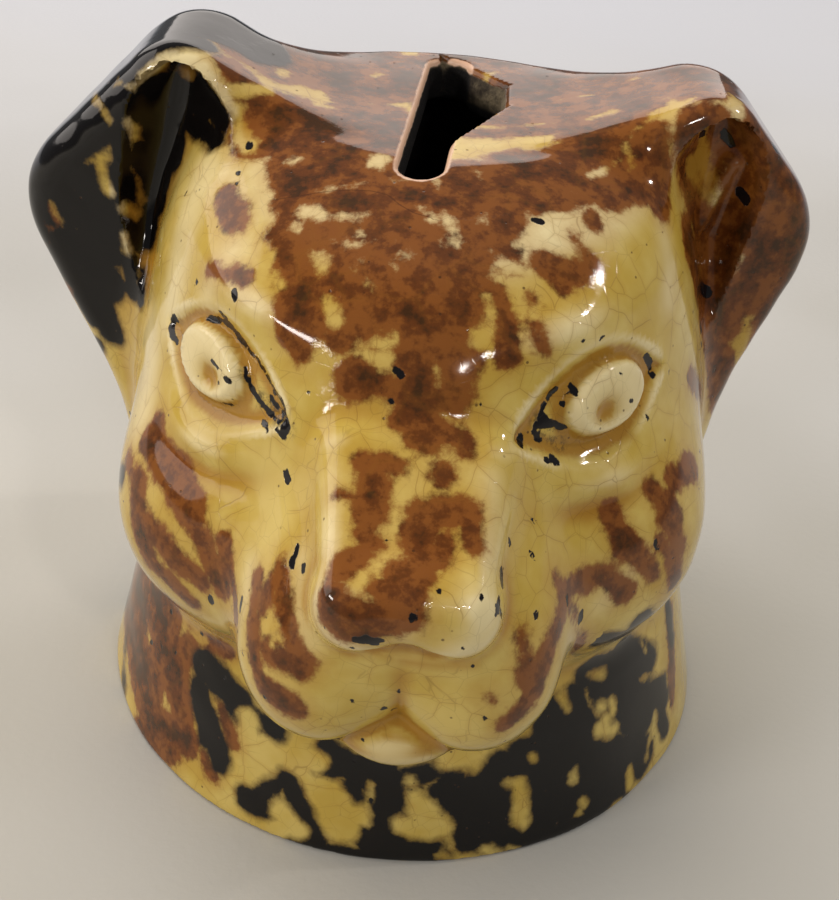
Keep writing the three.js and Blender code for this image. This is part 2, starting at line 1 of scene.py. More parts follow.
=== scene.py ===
# %% [markdown]
# # A dog head money bank in sponged yellow ware
#
# The bank is a hollow dog's head of buff clay. Two halves were pressed in moulds and joined along a seam that
# runs over the poll from ear to ear, the ears were luted on by hand, a slab closed the foot and a slot was cut
# in the poll. Yellow glaze was then dabbed with brown and black from a sponge, and fired glossy.
#
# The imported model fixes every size. The pieces made below stand in the same places, in metres, with +Z up and
# the face towards -Y.

# %% Load the fixed frame
import math

import bpy
import numpy as np
from mathutils import Matrix, Vector


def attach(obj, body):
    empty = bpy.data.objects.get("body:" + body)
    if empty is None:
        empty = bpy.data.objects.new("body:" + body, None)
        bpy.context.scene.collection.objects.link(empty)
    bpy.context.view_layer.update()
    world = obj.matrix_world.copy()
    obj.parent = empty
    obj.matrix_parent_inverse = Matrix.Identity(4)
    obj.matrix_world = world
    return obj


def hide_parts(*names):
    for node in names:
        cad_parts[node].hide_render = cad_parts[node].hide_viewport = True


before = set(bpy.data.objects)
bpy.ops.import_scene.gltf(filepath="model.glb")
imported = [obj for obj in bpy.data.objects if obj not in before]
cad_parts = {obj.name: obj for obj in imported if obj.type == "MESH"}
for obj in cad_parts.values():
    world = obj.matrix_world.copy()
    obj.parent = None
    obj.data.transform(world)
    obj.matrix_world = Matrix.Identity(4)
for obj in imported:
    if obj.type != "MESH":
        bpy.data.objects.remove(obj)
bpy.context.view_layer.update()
print("nodes:", sorted(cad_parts))

# %% [markdown]
# ## The camera
#
# The head was photographed from above its nose, with the picture turned a few degrees. The lens and place come
# first, because the glaze dabs further down are set where the picture shows them.

# %% Camera at the photograph's view
PHOTO_WIDTH, PHOTO_HEIGHT = 839, 900
FOCAL_PIXELS = 1395
SENSOR = 36
CAMERA_MM = np.array([0.0, -148.0, 133.0])
LOOK_DOWN = math.radians(34.4)
ROLL = math.radians(4.5)
MM = 0.001

look = np.array([0, math.cos(LOOK_DOWN), -math.sin(LOOK_DOWN)])
across = np.array([1.0, 0, 0])
upward = np.cross(across, look)

scene = bpy.context.scene
camera = bpy.data.objects.new("camera", bpy.data.cameras.new("camera"))
camera.data.sensor_width = SENSOR
camera.data.lens = FOCAL_PIXELS / PHOTO_HEIGHT * SENSOR
turn = Matrix([Vector(across), Vector(upward), Vector(-look)]).transposed().to_4x4()
camera.matrix_world = Matrix.Translation(CAMERA_MM * MM) @ turn @ Matrix.Rotation(ROLL, 4, "Z")
scene.collection.objects.link(camera)
scene.camera = camera
scene.view_settings.view_transform = "Standard"
print("lens:", round(camera.data.lens, 1))

# %% [markdown]
# ## Clay in numbers
#
# A pressed head has no edges that a modeller could draw as curves: lips, cheeks and brow melt into each other.
# So the clay is written as a signed distance, below zero inside and above it outside. A soft minimum joins two
# lumps with a fillet, as a thumb would, and a soft maximum cuts with a rounded edge.

# %% Soft joins and simple lumps
def soft_min(a, b, size):
    t = np.clip(0.5 + 0.5 * (b - a) / size, 0, 1)
    return b + (a - b) * t - size * t * (1 - t)


def soft_max(a, b, size):
    return -soft_min(-a, -b, size)


def ease(start, end, value):
    t = np.clip((value - start) / (end - start), 0, 1)
    return t * t * (3 - 2 * t)


def bell(offset, spread):
    return np.exp(-((offset / spread) ** 2))


def lump(x, y, z, centre, radii):
    dx, dy, dz = x - centre[0], y - centre[1], z - centre[2]
    scaled = np.sqrt((dx / radii[0]) ** 2 + (dy / radii[1]) ** 2 + (dz / radii[2]) ** 2) + 1e-6
    slope = np.sqrt((dx / radii[0] ** 2) ** 2 + (dy / radii[1] ** 2) ** 2 + (dz / radii[2] ** 2) ** 2) + 1e-6
    return scaled * (scaled - 1) / slope


def rod(x, y, z, start, end, start_radius, end_radius):
    run = np.subtract(end, start)
    dx, dy, dz = x - start[0], y - start[1], z - start[2]
    t = np.clip((dx * run[0] + dy * run[1] + dz * run[2]) / (run @ run), 0, 1)
    gap = np.sqrt((dx - t * run[0]) ** 2 + (dy - t * run[1]) ** 2 + (dz - t * run[2]) ** 2)
    return gap - start_radius - (end_radius - start_radius) * t


print("a join of size 4 between two equal lumps fills", -soft_min(0.0, 0.0, 4.0), "mm")

# %% [markdown]
# ## The head without its features
#
# Each row of the table is one level of the head in millimetres: its height, half width, depth to the front,
# depth to the back, and how square the front corners are. The collar flares below, the brow stands forward
# near 58 mm, and the flat poll cuts everything off at the top.

# %% Body, cheeks, muzzle and bridge
POLL_HEIGHT = 77.2
BACK_POWER = 2.05  # how square the back is, 2 being round
LEFT_WIDER = 0.6
LEVELS = np.array([
    [-3.1, 40.4, 40.4, 40.4, 2.00],
    [0.0, 39.9, 40.0, 39.9, 2.00],
    [6.0, 38.4, 38.9, 38.6, 2.00],
    [13.0, 36.7, 37.6, 37.2, 2.00],
    [18.1, 35.4, 36.2, 36.0, 2.00],
    [21.5, 34.4, 35.2, 35.4, 2.05],
    [26.1, 34.4, 35.2, 35.8, 2.10],
    [33.1, 34.5, 35.6, 36.6, 2.15],
    [40.1, 34.4, 36.4, 36.8, 2.15],
    [46.1, 34.0, 37.8, 36.4, 2.05],
    [52.1, 33.2, 39.8, 35.2, 1.90],
    [58.1, 32.0, 40.6, 33.0, 1.78],
    [63.1, 30.8, 38.4, 30.6, 1.78],
    [68.2, 29.0, 34.8, 27.6, 1.80],
    [72.2, 27.3, 30.2, 24.6, 1.70],
    [75.2, 25.8, 24.0, 21.8, 1.50],
    [78.2, 23.6, 13.0, 18.0, 1.25],
    [81.2, 20.0, 5.0, 12.0, 1.20],
])


def level_curve(z, column):
    heights, values = LEVELS[:, 0], LEVELS[:, column]
    slopes = np.gradient(values, heights)
    slopes[1:-1] = (values[2:] - values[:-2]) / (heights[2:] - heights[:-2])
    inside = np.clip(z, heights[0], heights[-1])
    i = np.clip(np.searchsorted(heights, inside, side="right") - 1, 0, len(heights) - 2)
    span = heights[i + 1] - heights[i]
    t = (inside - heights[i]) / span
    ends = (2 * t**3 - 3 * t**2 + 1) * values[i] + (3 * t**2 - 2 * t**3) * values[i + 1]
    bends = (t**3 - 2 * t**2 + t) * slopes[i] + (t**3 - t**2) * slopes[i + 1]
    return (ends + bends * span).astype(np.float32)


def left_side(x):
    return ease(-7, 7, -x)


def body_field(x, y, z):
    front = y < 0
    width = level_curve(z, 1) + (2 * left_side(x) - 1) * LEFT_WIDER * ease(18, 30, z)
    depth = np.where(front, level_curve(z, 2), level_curve(z, 3))
    power = np.where(front, level_curve(z, 4), BACK_POWER)
    total = (np.abs(x / width) ** power + np.abs(y / depth) ** power) ** (1 / power)
    return (total - 1) * np.minimum(width, depth) * 0.92


BRIDGE_HALF = (8.4, 9.4, 5.4)
BRIDGE_EDGE = 2.4
BRIDGE_TILT = 0.075 * 2 * math.pi


def bridge_field(x, y, z):
    """A tilted block with rounded edges that widens from the nose to the brow."""
    dy, dz = y + 44.6, z - 51.4
    widen = 1 + 0.4 * dy / 56
    along = dy * math.cos(BRIDGE_TILT) + dz * math.sin(BRIDGE_TILT)
    up = dz * math.cos(BRIDGE_TILT) - dy * math.sin(BRIDGE_TILT)
    qx, qy, qz = [np.abs(q) - half + BRIDGE_EDGE
                  for q, half in zip((x / widen + 0.2, along, up), BRIDGE_HALF)]
    outer = np.sqrt(np.maximum(qx, 0) ** 2 + np.maximum(qy, 0) ** 2 + np.maximum(qz, 0) ** 2)
    return outer + np.minimum(np.maximum(qx, np.maximum(qy, qz)), 0) - BRIDGE_EDGE


def skull_field(x, y, z):
    side, left = np.abs(x), left_side(x)
    flat = soft_max(body_field(x, y, z), z - POLL_HEIGHT, 1.2)
    cheeks = soft_min(flat, lump(side, y, z, (20 + left, -20, 39.2 - 1.6 * left), (12.2, 14.6, 13.2)), 6)
    cheeks = soft_min(cheeks, lump(side, y, z, (15.6, -28.4, 39.8 - 1.4 * left), (8.6, 9.4, 11.4)), 6)
    lip = lump(side, y, z, (7.0 + 0.9 * left, -41.4, 37.1), (9.3, 11.2, 11))
    lips = soft_min(lip, lump(side, y, z, (0, -38.5, 44), (14.6, 13.5, 13)), 4.8)
    muzzle = soft_min(lips, lump(side, y, z, (0, -41.4, 29.6), (8.4, 9.4, 5.8)), 0.8)
    face = soft_min(cheeks, muzzle, 6.5)
    return soft_min(face, bridge_field(x, y, z), 3.2)


brow = np.array([58.0])
print("half width and depths at the brow:", [round(float(level_curve(brow, c)[0]), 1) for c in (1, 2, 3)])

# %% [markdown]
# ## Eyes, nose and lips
#
# The eyes are modelled in low relief: an almond socket pressed in, a button of clay for the eyeball with a
# pressed pupil, a brow ridge above and a bag below. All are offsets of the surface, measured along the lids and
# up the face, so they are written once for the right side and set a little lower and wider on the left.

# %% Eye relief
def unit(vector):
    return np.array(vector, float) / np.linalg.norm(vector)


ALONG = unit((0.66, 0.751, 0))
OUT = np.array((0.72, -0.625, 0.3))
OUT = unit(OUT - ALONG * (OUT @ ALONG))
UP = np.cross(OUT, ALONG)
LID_HALF = (11.2, 5.1)
BALL_HALF = (6.2, 3.8)
PUPIL = (-0.9, -1.1)


def eye_places(x, y, z):
    left = left_side(x)
    place = (np.abs(x) - 18.3 - 3.6 * left, y + 29.8 - 2.9 * left, z - 60.2 + 1.3 * left)
    return [sum(a * b for a, b in zip(place, axis)) for axis in (ALONG, UP, OUT)]


def eyeball(u, v):
    return np.hypot(u / BALL_HALF[0] - 0.08, v / BALL_HALF[1] + 0.053)


def spot(u, v, centre, radii):
    return bell(np.hypot((u - centre[0]) / radii[0], (v - centre[1]) / radii[1]), 1)


def eye_relief(x, y, z):
    u, v, out = eye_places(x, y, z)
    lid_u = u / LID_HALF[0] + 0.09
    opening = np.abs(v / LID_HALF[1] + 0.04) - np.maximum(1 - lid_u**2, 0)
    socket = (1 - ease(-0.3, 0.26, opening)) * (1 - ease(0.94, 1.1, np.abs(lid_u)))
    ball = eyeball(u, v)
    pupil = spot(u, v, PUPIL, (1.9, 1.5))
    brow = spot(u, v, (-4, 8.4), (7.5, 2.7))
    bag = bell(np.hypot((u + 2.5) / 6.5, (v + 8 - 0.02 * u * u) / 2), 1)
    fold = bell(np.hypot((u + 2) / 6, (v + 11.2 - 0.02 * u * u) / 1.8), 1)
    relief = socket - 1.25 * (1 - ease(0.78, 1.1, ball)) - 0.35 * np.maximum(1 - ball**2, 0)
    relief = relief + 0.75 * pupil - brow - 0.7 * bag + 0.4 * fold
    return relief * bell(out, 7.5)


print("the lids run along", ALONG.round(2), "and the eye looks along", OUT.round(2))

# %% Head with nose, nostrils and lip groove
def head_field(x, y, z):
    side = np.abs(x)
    tip = lump(side, y, z, (0, -51, 50.4), (5.5, 4.8, 4.0))
    nose = soft_min(tip, lump(side, y, z, (4.5, -50.8, 49), (4.3, 4.8, 4.1)), 2)
    head = soft_min(skull_field(x, y, z), nose, 1.4)
    head = soft_max(head, -lump(side, y, z, (2.6, -55.6, 45.4), (1.9, 2.6, 0.9)), 0.9)
    head = soft_max(head, -rod(x, y, z, (0, -54.6, 46), (0, -53.6, 33), 1.0, 1.5), 1.6)
    return head + eye_relief(x, y, z)


ahead = np.linspace(40, 60, 201)
nose_line = head_field(0 * ahead, -ahead, 0 * ahead + 50)
print("the nose stands", round(ahead[np.argmax(nose_line > 0)], 1), "mm in front of the middle")

# %% [markdown]
# ## The ears
#
# Each ear is a pinched plate with a hollowed front. Its outline is four straight runs with rounded corners, and
# the two ears differ as the potter's hands left them: the left one stands wide and high, the right one has a
# fold inside the cup.

# %% Ear plates
EARS = {
    -1: {"points": [(15.0, 76.9), (30.0, 85.2), (50.0, 64.6), (37.2, 38.0)], "reach": 50.0,
         "cup": (30.9, 7.7, 52.0, 81.6), "bowl": 2.4, "fold": 0.0},
    1: {"points": [(14.0, 76.3), (30.4, 83.2), (44.6, 67.0), (34.2, 40.0)], "reach": 44.6,
        "cup": (30.0, 7.0, 54.0, 79.9), "bowl": 0.0, "fold": 1.3},
}


def edge_line(start, end, side, z):
    run = np.subtract(end, start)
    return ((z - start[1]) * run[0] - (side - start[0]) * run[1]) / np.hypot(*run)


def ear_field(ear, x, y, z):
    side = np.abs(x)
    root, peak, elbow, foot = ear["points"]
    reach = ear["reach"]
    tip = soft_max(edge_line(peak, elbow, side, z), edge_line(elbow, foot, side, z), 0.15 * reach)
    outline = soft_max(tip, edge_line(root, peak, side, z), 0.11 * reach)
    out = np.clip((side - reach / 2) / (reach / 2), 0, 1)
    middle, half, low, top = ear["cup"]
    rise = (z - low) / (top - low)
    close = np.sqrt(np.clip(1 - (np.clip(rise - 0.6, 0, 1) / 0.4) ** 2, 0, 1))
    bowl = ear["bowl"] / half * ease(0.35, 0.75, rise)
    width = half * (np.sqrt(np.clip(rise, 0, 1)) * close + 0.025)
    across_cup = (side - middle + bowl * half) / width
    hollow = np.clip(1 - across_cup**2, 0, 1) * ease(0, 0.35, rise) * ease(1.02, 0.98, rise)
    fold = ear["fold"] * bell(rod(side, 0 * y, z, (32.1, 0, 73.6), (30.3, 0, 66.9), 0, 0), 1.1)
    front = -6.9 + 5.9 * out - y + 5.4 * hollow - fold
    back = y - 15 + 9 * out
    return soft_max(soft_max(outline, front, 0.07 * reach), back, 0.13 * reach)


def outer_field(x, y, z):
    ears = np.where(x < 0, ear_field(EARS[-1], x, y, z), ear_field(EARS[1], x, y, z))
    return soft_min(head_field(x, y, z), ears, 4.5)


print("the ears reach", [EARS[side]["reach"] for side in (-1, 1)], "mm out")

# %% [markdown]
# ## Hand unevenness, hollow, slot and chip
#
# Pressed clay is never true: a few slow waves, a tenth of a millimetre high, bend the highlights as on the real
# glaze. The hollow follows the head one wall inside it. The slot was cut straight down, a little askew, and a
# piece of its right lip was knocked out long ago, along three nearly straight breaks.

# %% Waves and cuts
WALL = 5.0
FLOOR_SEAT = (35.3, 4.8)
SLOT_HALF = (2.3, 17.3)
SLOT_MIDDLE = (-1.05, -0.6)
SLOT_TURN = 0.011 * 2 * math.pi
CUT_DOWN_TO = 66  # inside the hollow, so slot and chip go right through the wall
FOOT_ROUND, SEAT_ROUND, CHIP_ROUND, SLOT_ROUND = 0.8, 0.5, 0.25, 0.9  # how softly each edge turns
random = np.random.default_rng(7)


def draw_waves(*lengths_and_heights):
    return [(random.normal(size=3) / length, random.uniform(0, 6.28), height)
            for length, height in lengths_and_heights]


WAVES = draw_waves((4.2, 0.05), (3.4, 0.035), (3.0, 0.03), (2.2, 0.02), (1.9, 0.015), (1.5, 0.01))
CHIP_WAVES = draw_waves((2.6, 0.3), (1.4, 0.12))


def waves(table, x, y, z):
    return sum(h * np.sin(w[0] * x + w[1] * y + w[2] * z + phase) for w, phase, h in table)


def glazed_field(x, y, z):
    return outer_field(x, y, z) + waves(WAVES, x, y, z)


def slot_field(x, y):
    dx, dy = x - SLOT_MIDDLE[0], y - SLOT_MIDDLE[1]
    u = dx * math.cos(SLOT_TURN) - dy * math.sin(SLOT_TURN)
    v = dx * math.sin(SLOT_TURN) + dy * math.cos(SLOT_TURN)
    past_end = np.maximum(np.abs(v) - SLOT_HALF[1] + SLOT_HALF[0], 0)
    return np.hypot(u, past_end) - SLOT_HALF[0]


def chip_field(x, y, z):
    """Three straight breaks right of the slot, which close in a little as they go down."""
    front = 0.892 * (x - 0.76) - 0.452 * (y + 9.2)
    right = x - 6.9
    back = 0.738 * (x - 6.2) + 0.674 * (y - 10)
    breaks = np.maximum(np.maximum(front, right), np.maximum(back, SLOT_MIDDLE[0] - x))
    return breaks + 0.12 * (POLL_HEIGHT - z) + waves(CHIP_WAVES, x, y, z)


def bank_field(x, y, z):
    clay = soft_max(glazed_field(x, y, z), -z, FOOT_ROUND)
    clay = np.maximum(clay, -(skull_field(x, y, z) + WALL))
    seat = np.maximum(np.hypot(x, y) - FLOOR_SEAT[0], z - FLOOR_SEAT[1])
    clay = soft_max(clay, -seat, SEAT_ROUND)
    chipped = soft_max(clay, -np.maximum(chip_field(x, y, z), CUT_DOWN_TO - z), CHIP_ROUND)
    return soft_max(chipped, -np.maximum(slot_field(x, y), CUT_DOWN_TO - z), SLOT_ROUND)


print("slot:", 2 * SLOT_HALF[0], "by", 2 * SLOT_HALF[1], "mm")
print("waves:", len(WAVES), "on the skin and", len(CHIP_WAVES), "more in the chip")

# %% [markdown]
# ## From field to mesh
#
# Surface nets turn the field into quads: every small cell that the surface crosses gets one point, and points of
# neighbouring cells are joined. Only cells near the surface are worked out, and each point is then slid along the
# slope of the field until it lies on the surface.

# %% Surface nets
CELL = 0.552
LOW, HIGH = np.array((-52.3, -60.4, -1.9)), np.array((48.0, 42.4, 88.0))  # the box that is worked out
BLOCK = 4
CHUNK = 400_000
NEAR = 5.5  # cells: a block this near the surface is worked out cell by cell


def field_at(field, points):
    values = np.empty(len(points), np.float32)
    for i in range(0, len(points), CHUNK):
        values[i:i + CHUNK] = field(*points[i:i + CHUNK].T.astype(np.float32))
    return values


def sample_field(field, low, high, cell):
    blocks = np.ceil((high - low) / cell / BLOCK).astype(int)
    grid = np.stack(np.meshgrid(*[np.arange(n) for n in blocks], indexing="ij"), -1).reshape(-1, 3)
    coarse = field_at(field, low + (grid * BLOCK + (BLOCK - 1) / 2) * cell).reshape(blocks)
    values = coarse.repeat(BLOCK, 0).repeat(BLOCK, 1).repeat(BLOCK, 2)
    near = np.nonzero(np.abs(values) < NEAR * cell)
    values[near] = field_at(field, low + np.stack(near, -1) * cell)
    return values


def surface_nets(values, low, cell):
    inside = values < 0
    corners = [(i, j, k) for i in (0, 1) for j in (0, 1) for k in (0, 1)]
    size = np.array(values.shape) - 1
    count = sum(inside[i:i + size[0], j:j + size[1], k:k + size[2]].astype(np.uint8) for i, j, k in corners)
    active = (count > 0) & (count < 8)
    cells = np.argwhere(active)
    number = np.full(active.shape, -1, np.int32)
    number[active] = np.arange(len(cells))
    total, hits = np.zeros((len(cells), 3)), np.zeros(len(cells))
    for a in corners:
        for axis in range(3):
            if a[axis]:
                continue
            b = tuple(1 if i == axis else a[i] for i in range(3))
            fa, fb = values[tuple((cells + a).T)], values[tuple((cells + b).T)]
            crossed = (fa < 0) != (fb < 0)
            t = np.where(crossed, fa / np.where(crossed, fa - fb, 1), 0)
            point = np.tile(np.array(a, float), (len(cells), 1))
            point[:, axis] = t
            total += point * crossed[:, None]
            hits += crossed
    points = (cells + total / hits[:, None]) * cell + low
    quads = []
    for axis in range(3):
        here, there = [slice(1, -1)] * 3, [slice(1, -1)] * 3
        here[axis], there[axis] = slice(0, -1), slice(1, None)
        first, second = inside[tuple(here)], inside[tuple(there)]
        edges = np.argwhere(first != second)
        falls = first[tuple(edges.T)]
        u, v = (axis + 1) % 3, (axis + 2) % 3
        corner = edges.copy()
        corner[:, [u, v]] += 1
        ring = []
        for du, dv in ((1, 1), (0, 1), (0, 0), (1, 0)):
            k = corner.copy()
            k[:, u] -= du
            k[:, v] -= dv
            ring.append(number[tuple(k.T)])
        ring = np.stack(ring, 1)
        quads.append(np.where(falls[:, None], ring, ring[:, ::-1]))
    return points, np.concatenate(quads)


def slope_at(field, points, reach=0.05):
    slope = np.empty((len(points), 3))
    for axis in range(3):
        step = np.zeros(3)
        step[axis] = reach
        slope[:, axis] = field_at(field, points + step) - field_at(field, points - step)
    return slope / (2 * reach)


def settle(field, points, cell, rounds=2):
    for _ in range(rounds):
        slope = slope_at(field, points)
        move = -field_at(field, points)[:, None] * slope / np.maximum((slope**2).sum(1), 0.2)[:, None]
        length = np.linalg.norm(move, axis=1, keepdims=True)
        points = points + move * np.minimum(1, cell * 0.5 / np.maximum(length, 1e-9))
    return points


points, quads = surface_nets(sample_field(bank_field, LOW, HIGH, CELL), LOW, CELL)
points = settle(bank_field, points, CELL)
print("clay points:", len(points), "quads:", len(quads))

# %% [markdown]
# ## Four pieces from one skin
#
# The halves and the ears are separate pieces of clay under one glaze. The whole skin is cut by flat faces where
# the pieces meet, at the seam and through each ear's root, so that their edges match exactly and no line shows.

# %% Cut the clay into its pieces
def mesh_from(name, vertices, faces):
    mesh = bpy.data.meshes.new(name)
    corners = faces.shape[1]
    mesh.vertices.add(len(vertices))
    mesh.vertices.foreach_set("co", np.asarray(vertices, np.float32).ravel())
    mesh.loops.add(faces.size)
    mesh.loops.foreach_set("vertex_index", faces.ravel().astype(np.int32))
    mesh.polygons.add(len(faces))
    mesh.polygons.foreach_set("loop_start", np.arange(len(faces), dtype=np.int32) * corners)
    mesh.polygons.foreach_set("loop_total", np.full(len(faces), corners, np.int32))
    mesh.update(calc_edges=True)
    mesh.validate()
    return mesh


def prism(name, outline, front, back):
    count = len(outline)
    vertices = [(x, y, z) for y in (front, back) for x, z in outline]
    faces = [tuple(range(count)), tuple(reversed(range(count, 2 * count)))]
    faces += [(i, i + count, (i + 1) % count + count, (i + 1) % count) for i in range(count)]
    mesh = bpy.data.meshes.new(name)
    mesh.from_pydata([tuple(c * MM for c in v) for v in vertices], [], faces)
    cutter = bpy.data.objects.new(name, mesh)
    scene.collection.objects.link(cutter)
    return cutter


whole_mesh = mesh_from("clay", points * MM, quads)
ROOT_LOW, ROOT_HIGH = (43.4, 20), (11.0, 104)
FAR = 90
ear_outline = [(FAR, ROOT_LOW[1]), (FAR, ROOT_HIGH[1]), ROOT_HIGH, ROOT_LOW]
middle_outline = [(-FAR, -9), (FAR, -9), (FAR, ROOT_LOW[1]), ROOT_LOW, ROOT_HIGH]
middle_outline += [(-x, z) for x, z in (ROOT_HIGH, ROOT_LOW, (FAR, ROOT_LOW[1]))]
PIECES = {
    "face_half": (middle_outline, -FAR, 0),
    "back_half": (middle_outline, 0, FAR),
    "ear_left": ([(-x, z) for x, z in reversed(ear_outline)], -FAR, FAR),
    "ear_right": (ear_outline, -FAR, FAR),
}


def cut_piece(name, outline, front, back):
    piece = bpy.data.objects.new(name, whole_mesh.copy())
    scene.collection.objects.link(piece)
    cutter = prism(name + "_cutter", outline, front, back)
    cut = piece.modifiers.new("cut", "BOOLEAN")
    cut.operation, cut.solver, cut.object = "INTERSECT", "MANIFOLD", cutter
    graph = bpy.context.evaluated_depsgraph_get()
    made = bpy.data.meshes.new_from_object(piece.evaluated_get(graph))
    piece.modifiers.clear()
    piece.data = made
    made.name = name
    bpy.data.objects.remove(cutter)
    return piece


pieces = {name: cut_piece(name, *shape) for name, shape in PIECES.items()}
for name, piece in pieces.items():
    print(name, len(piece.data.vertices), "points", len(piece.data.polygons), "faces")

# %% [markdown]
# ## Where the sponge touched
#
# Sponging is not a pattern that repeats: each dab is where the painter set it. A dab is a short stroke between
# two points of the photograph, with a radius in its pixels. A ray through each point finds the clay that carries
# it, so the dabs lie on the form and stay there from every side. What the photograph hides gets strokes of the
# same kind, given straight in millimetres.

# %% Strokes on the clay
RAY_START, RAY_END, RAY_STEPS = 70.0, 190, 90
OUT_OF_REACH = 9.0  # millimetres, beyond which a stroke or line has no say


def photo_rays(pixels):
    x, y = pixels[:, 0] - PHOTO_WIDTH / 2, pixels[:, 1] - PHOTO_HEIGHT / 2
    flat_x = x * math.cos(ROLL) + y * math.sin(ROLL)
    flat_y = y * math.cos(ROLL) - x * math.sin(ROLL)
    rays = look + across * (flat_x / FOCAL_PIXELS)[:, None] - upward * (flat_y / FOCAL_PIXELS)[:, None]
    return rays / np.linalg.norm(rays, axis=1, keepdims=True)


def clay_under(pixels):
    """The point of the clay behind each pixel, found by careful steps along its ray."""
    rays = photo_rays(np.asarray(pixels, float))
    travel = np.full(len(rays), RAY_START)
    for _ in range(RAY_STEPS):
        travel += np.clip(field_at(glazed_field, CAMERA_MM + rays * travel[:, None]), -2, 3) * 0.8
    return CAMERA_MM + rays * np.minimum(travel, RAY_END)[:, None]


def strokes_from_photo(rows):
    rows = np.asarray(rows, float)
    starts, ends = clay_under(rows[:, :2]), clay_under(rows[:, 2:4])
    away = (np.linalg.norm(starts - CAMERA_MM, axis=1) + np.linalg.norm(ends - CAMERA_MM, axis=1)) / 2
    return np.column_stack([starts, ends, rows[:, 4] * away / FOCAL_PIXELS])


def cover(points, strokes):
    """How far, in millimetres, each point lies inside the nearest stroke. Outside it is below zero."""
    best = np.full(len(points), -OUT_OF_REACH)
    for row in strokes:
        start, run, radius = row[:3], row[3:6] - row[:3], row[6]
        near = np.abs(points - (start + run / 2)).max(1) < np.abs(run).max() / 2 + radius + OUT_OF_REACH
        part = points[near]
        t = np.clip((part - start) @ run / max(run @ run, 1e-9), 0, 1)
        inside = radius - np.linalg.norm(part - start - t[:, None] * run, axis=1)
        best[near] = np.maximum(best[near], inside)
    return best


centre_pixel = (PHOTO_WIDTH / 2, PHOTO_HEIGHT / 2)
print("the middle of the picture meets the clay at", clay_under([centre_pixel])[0].round(1), "mm")

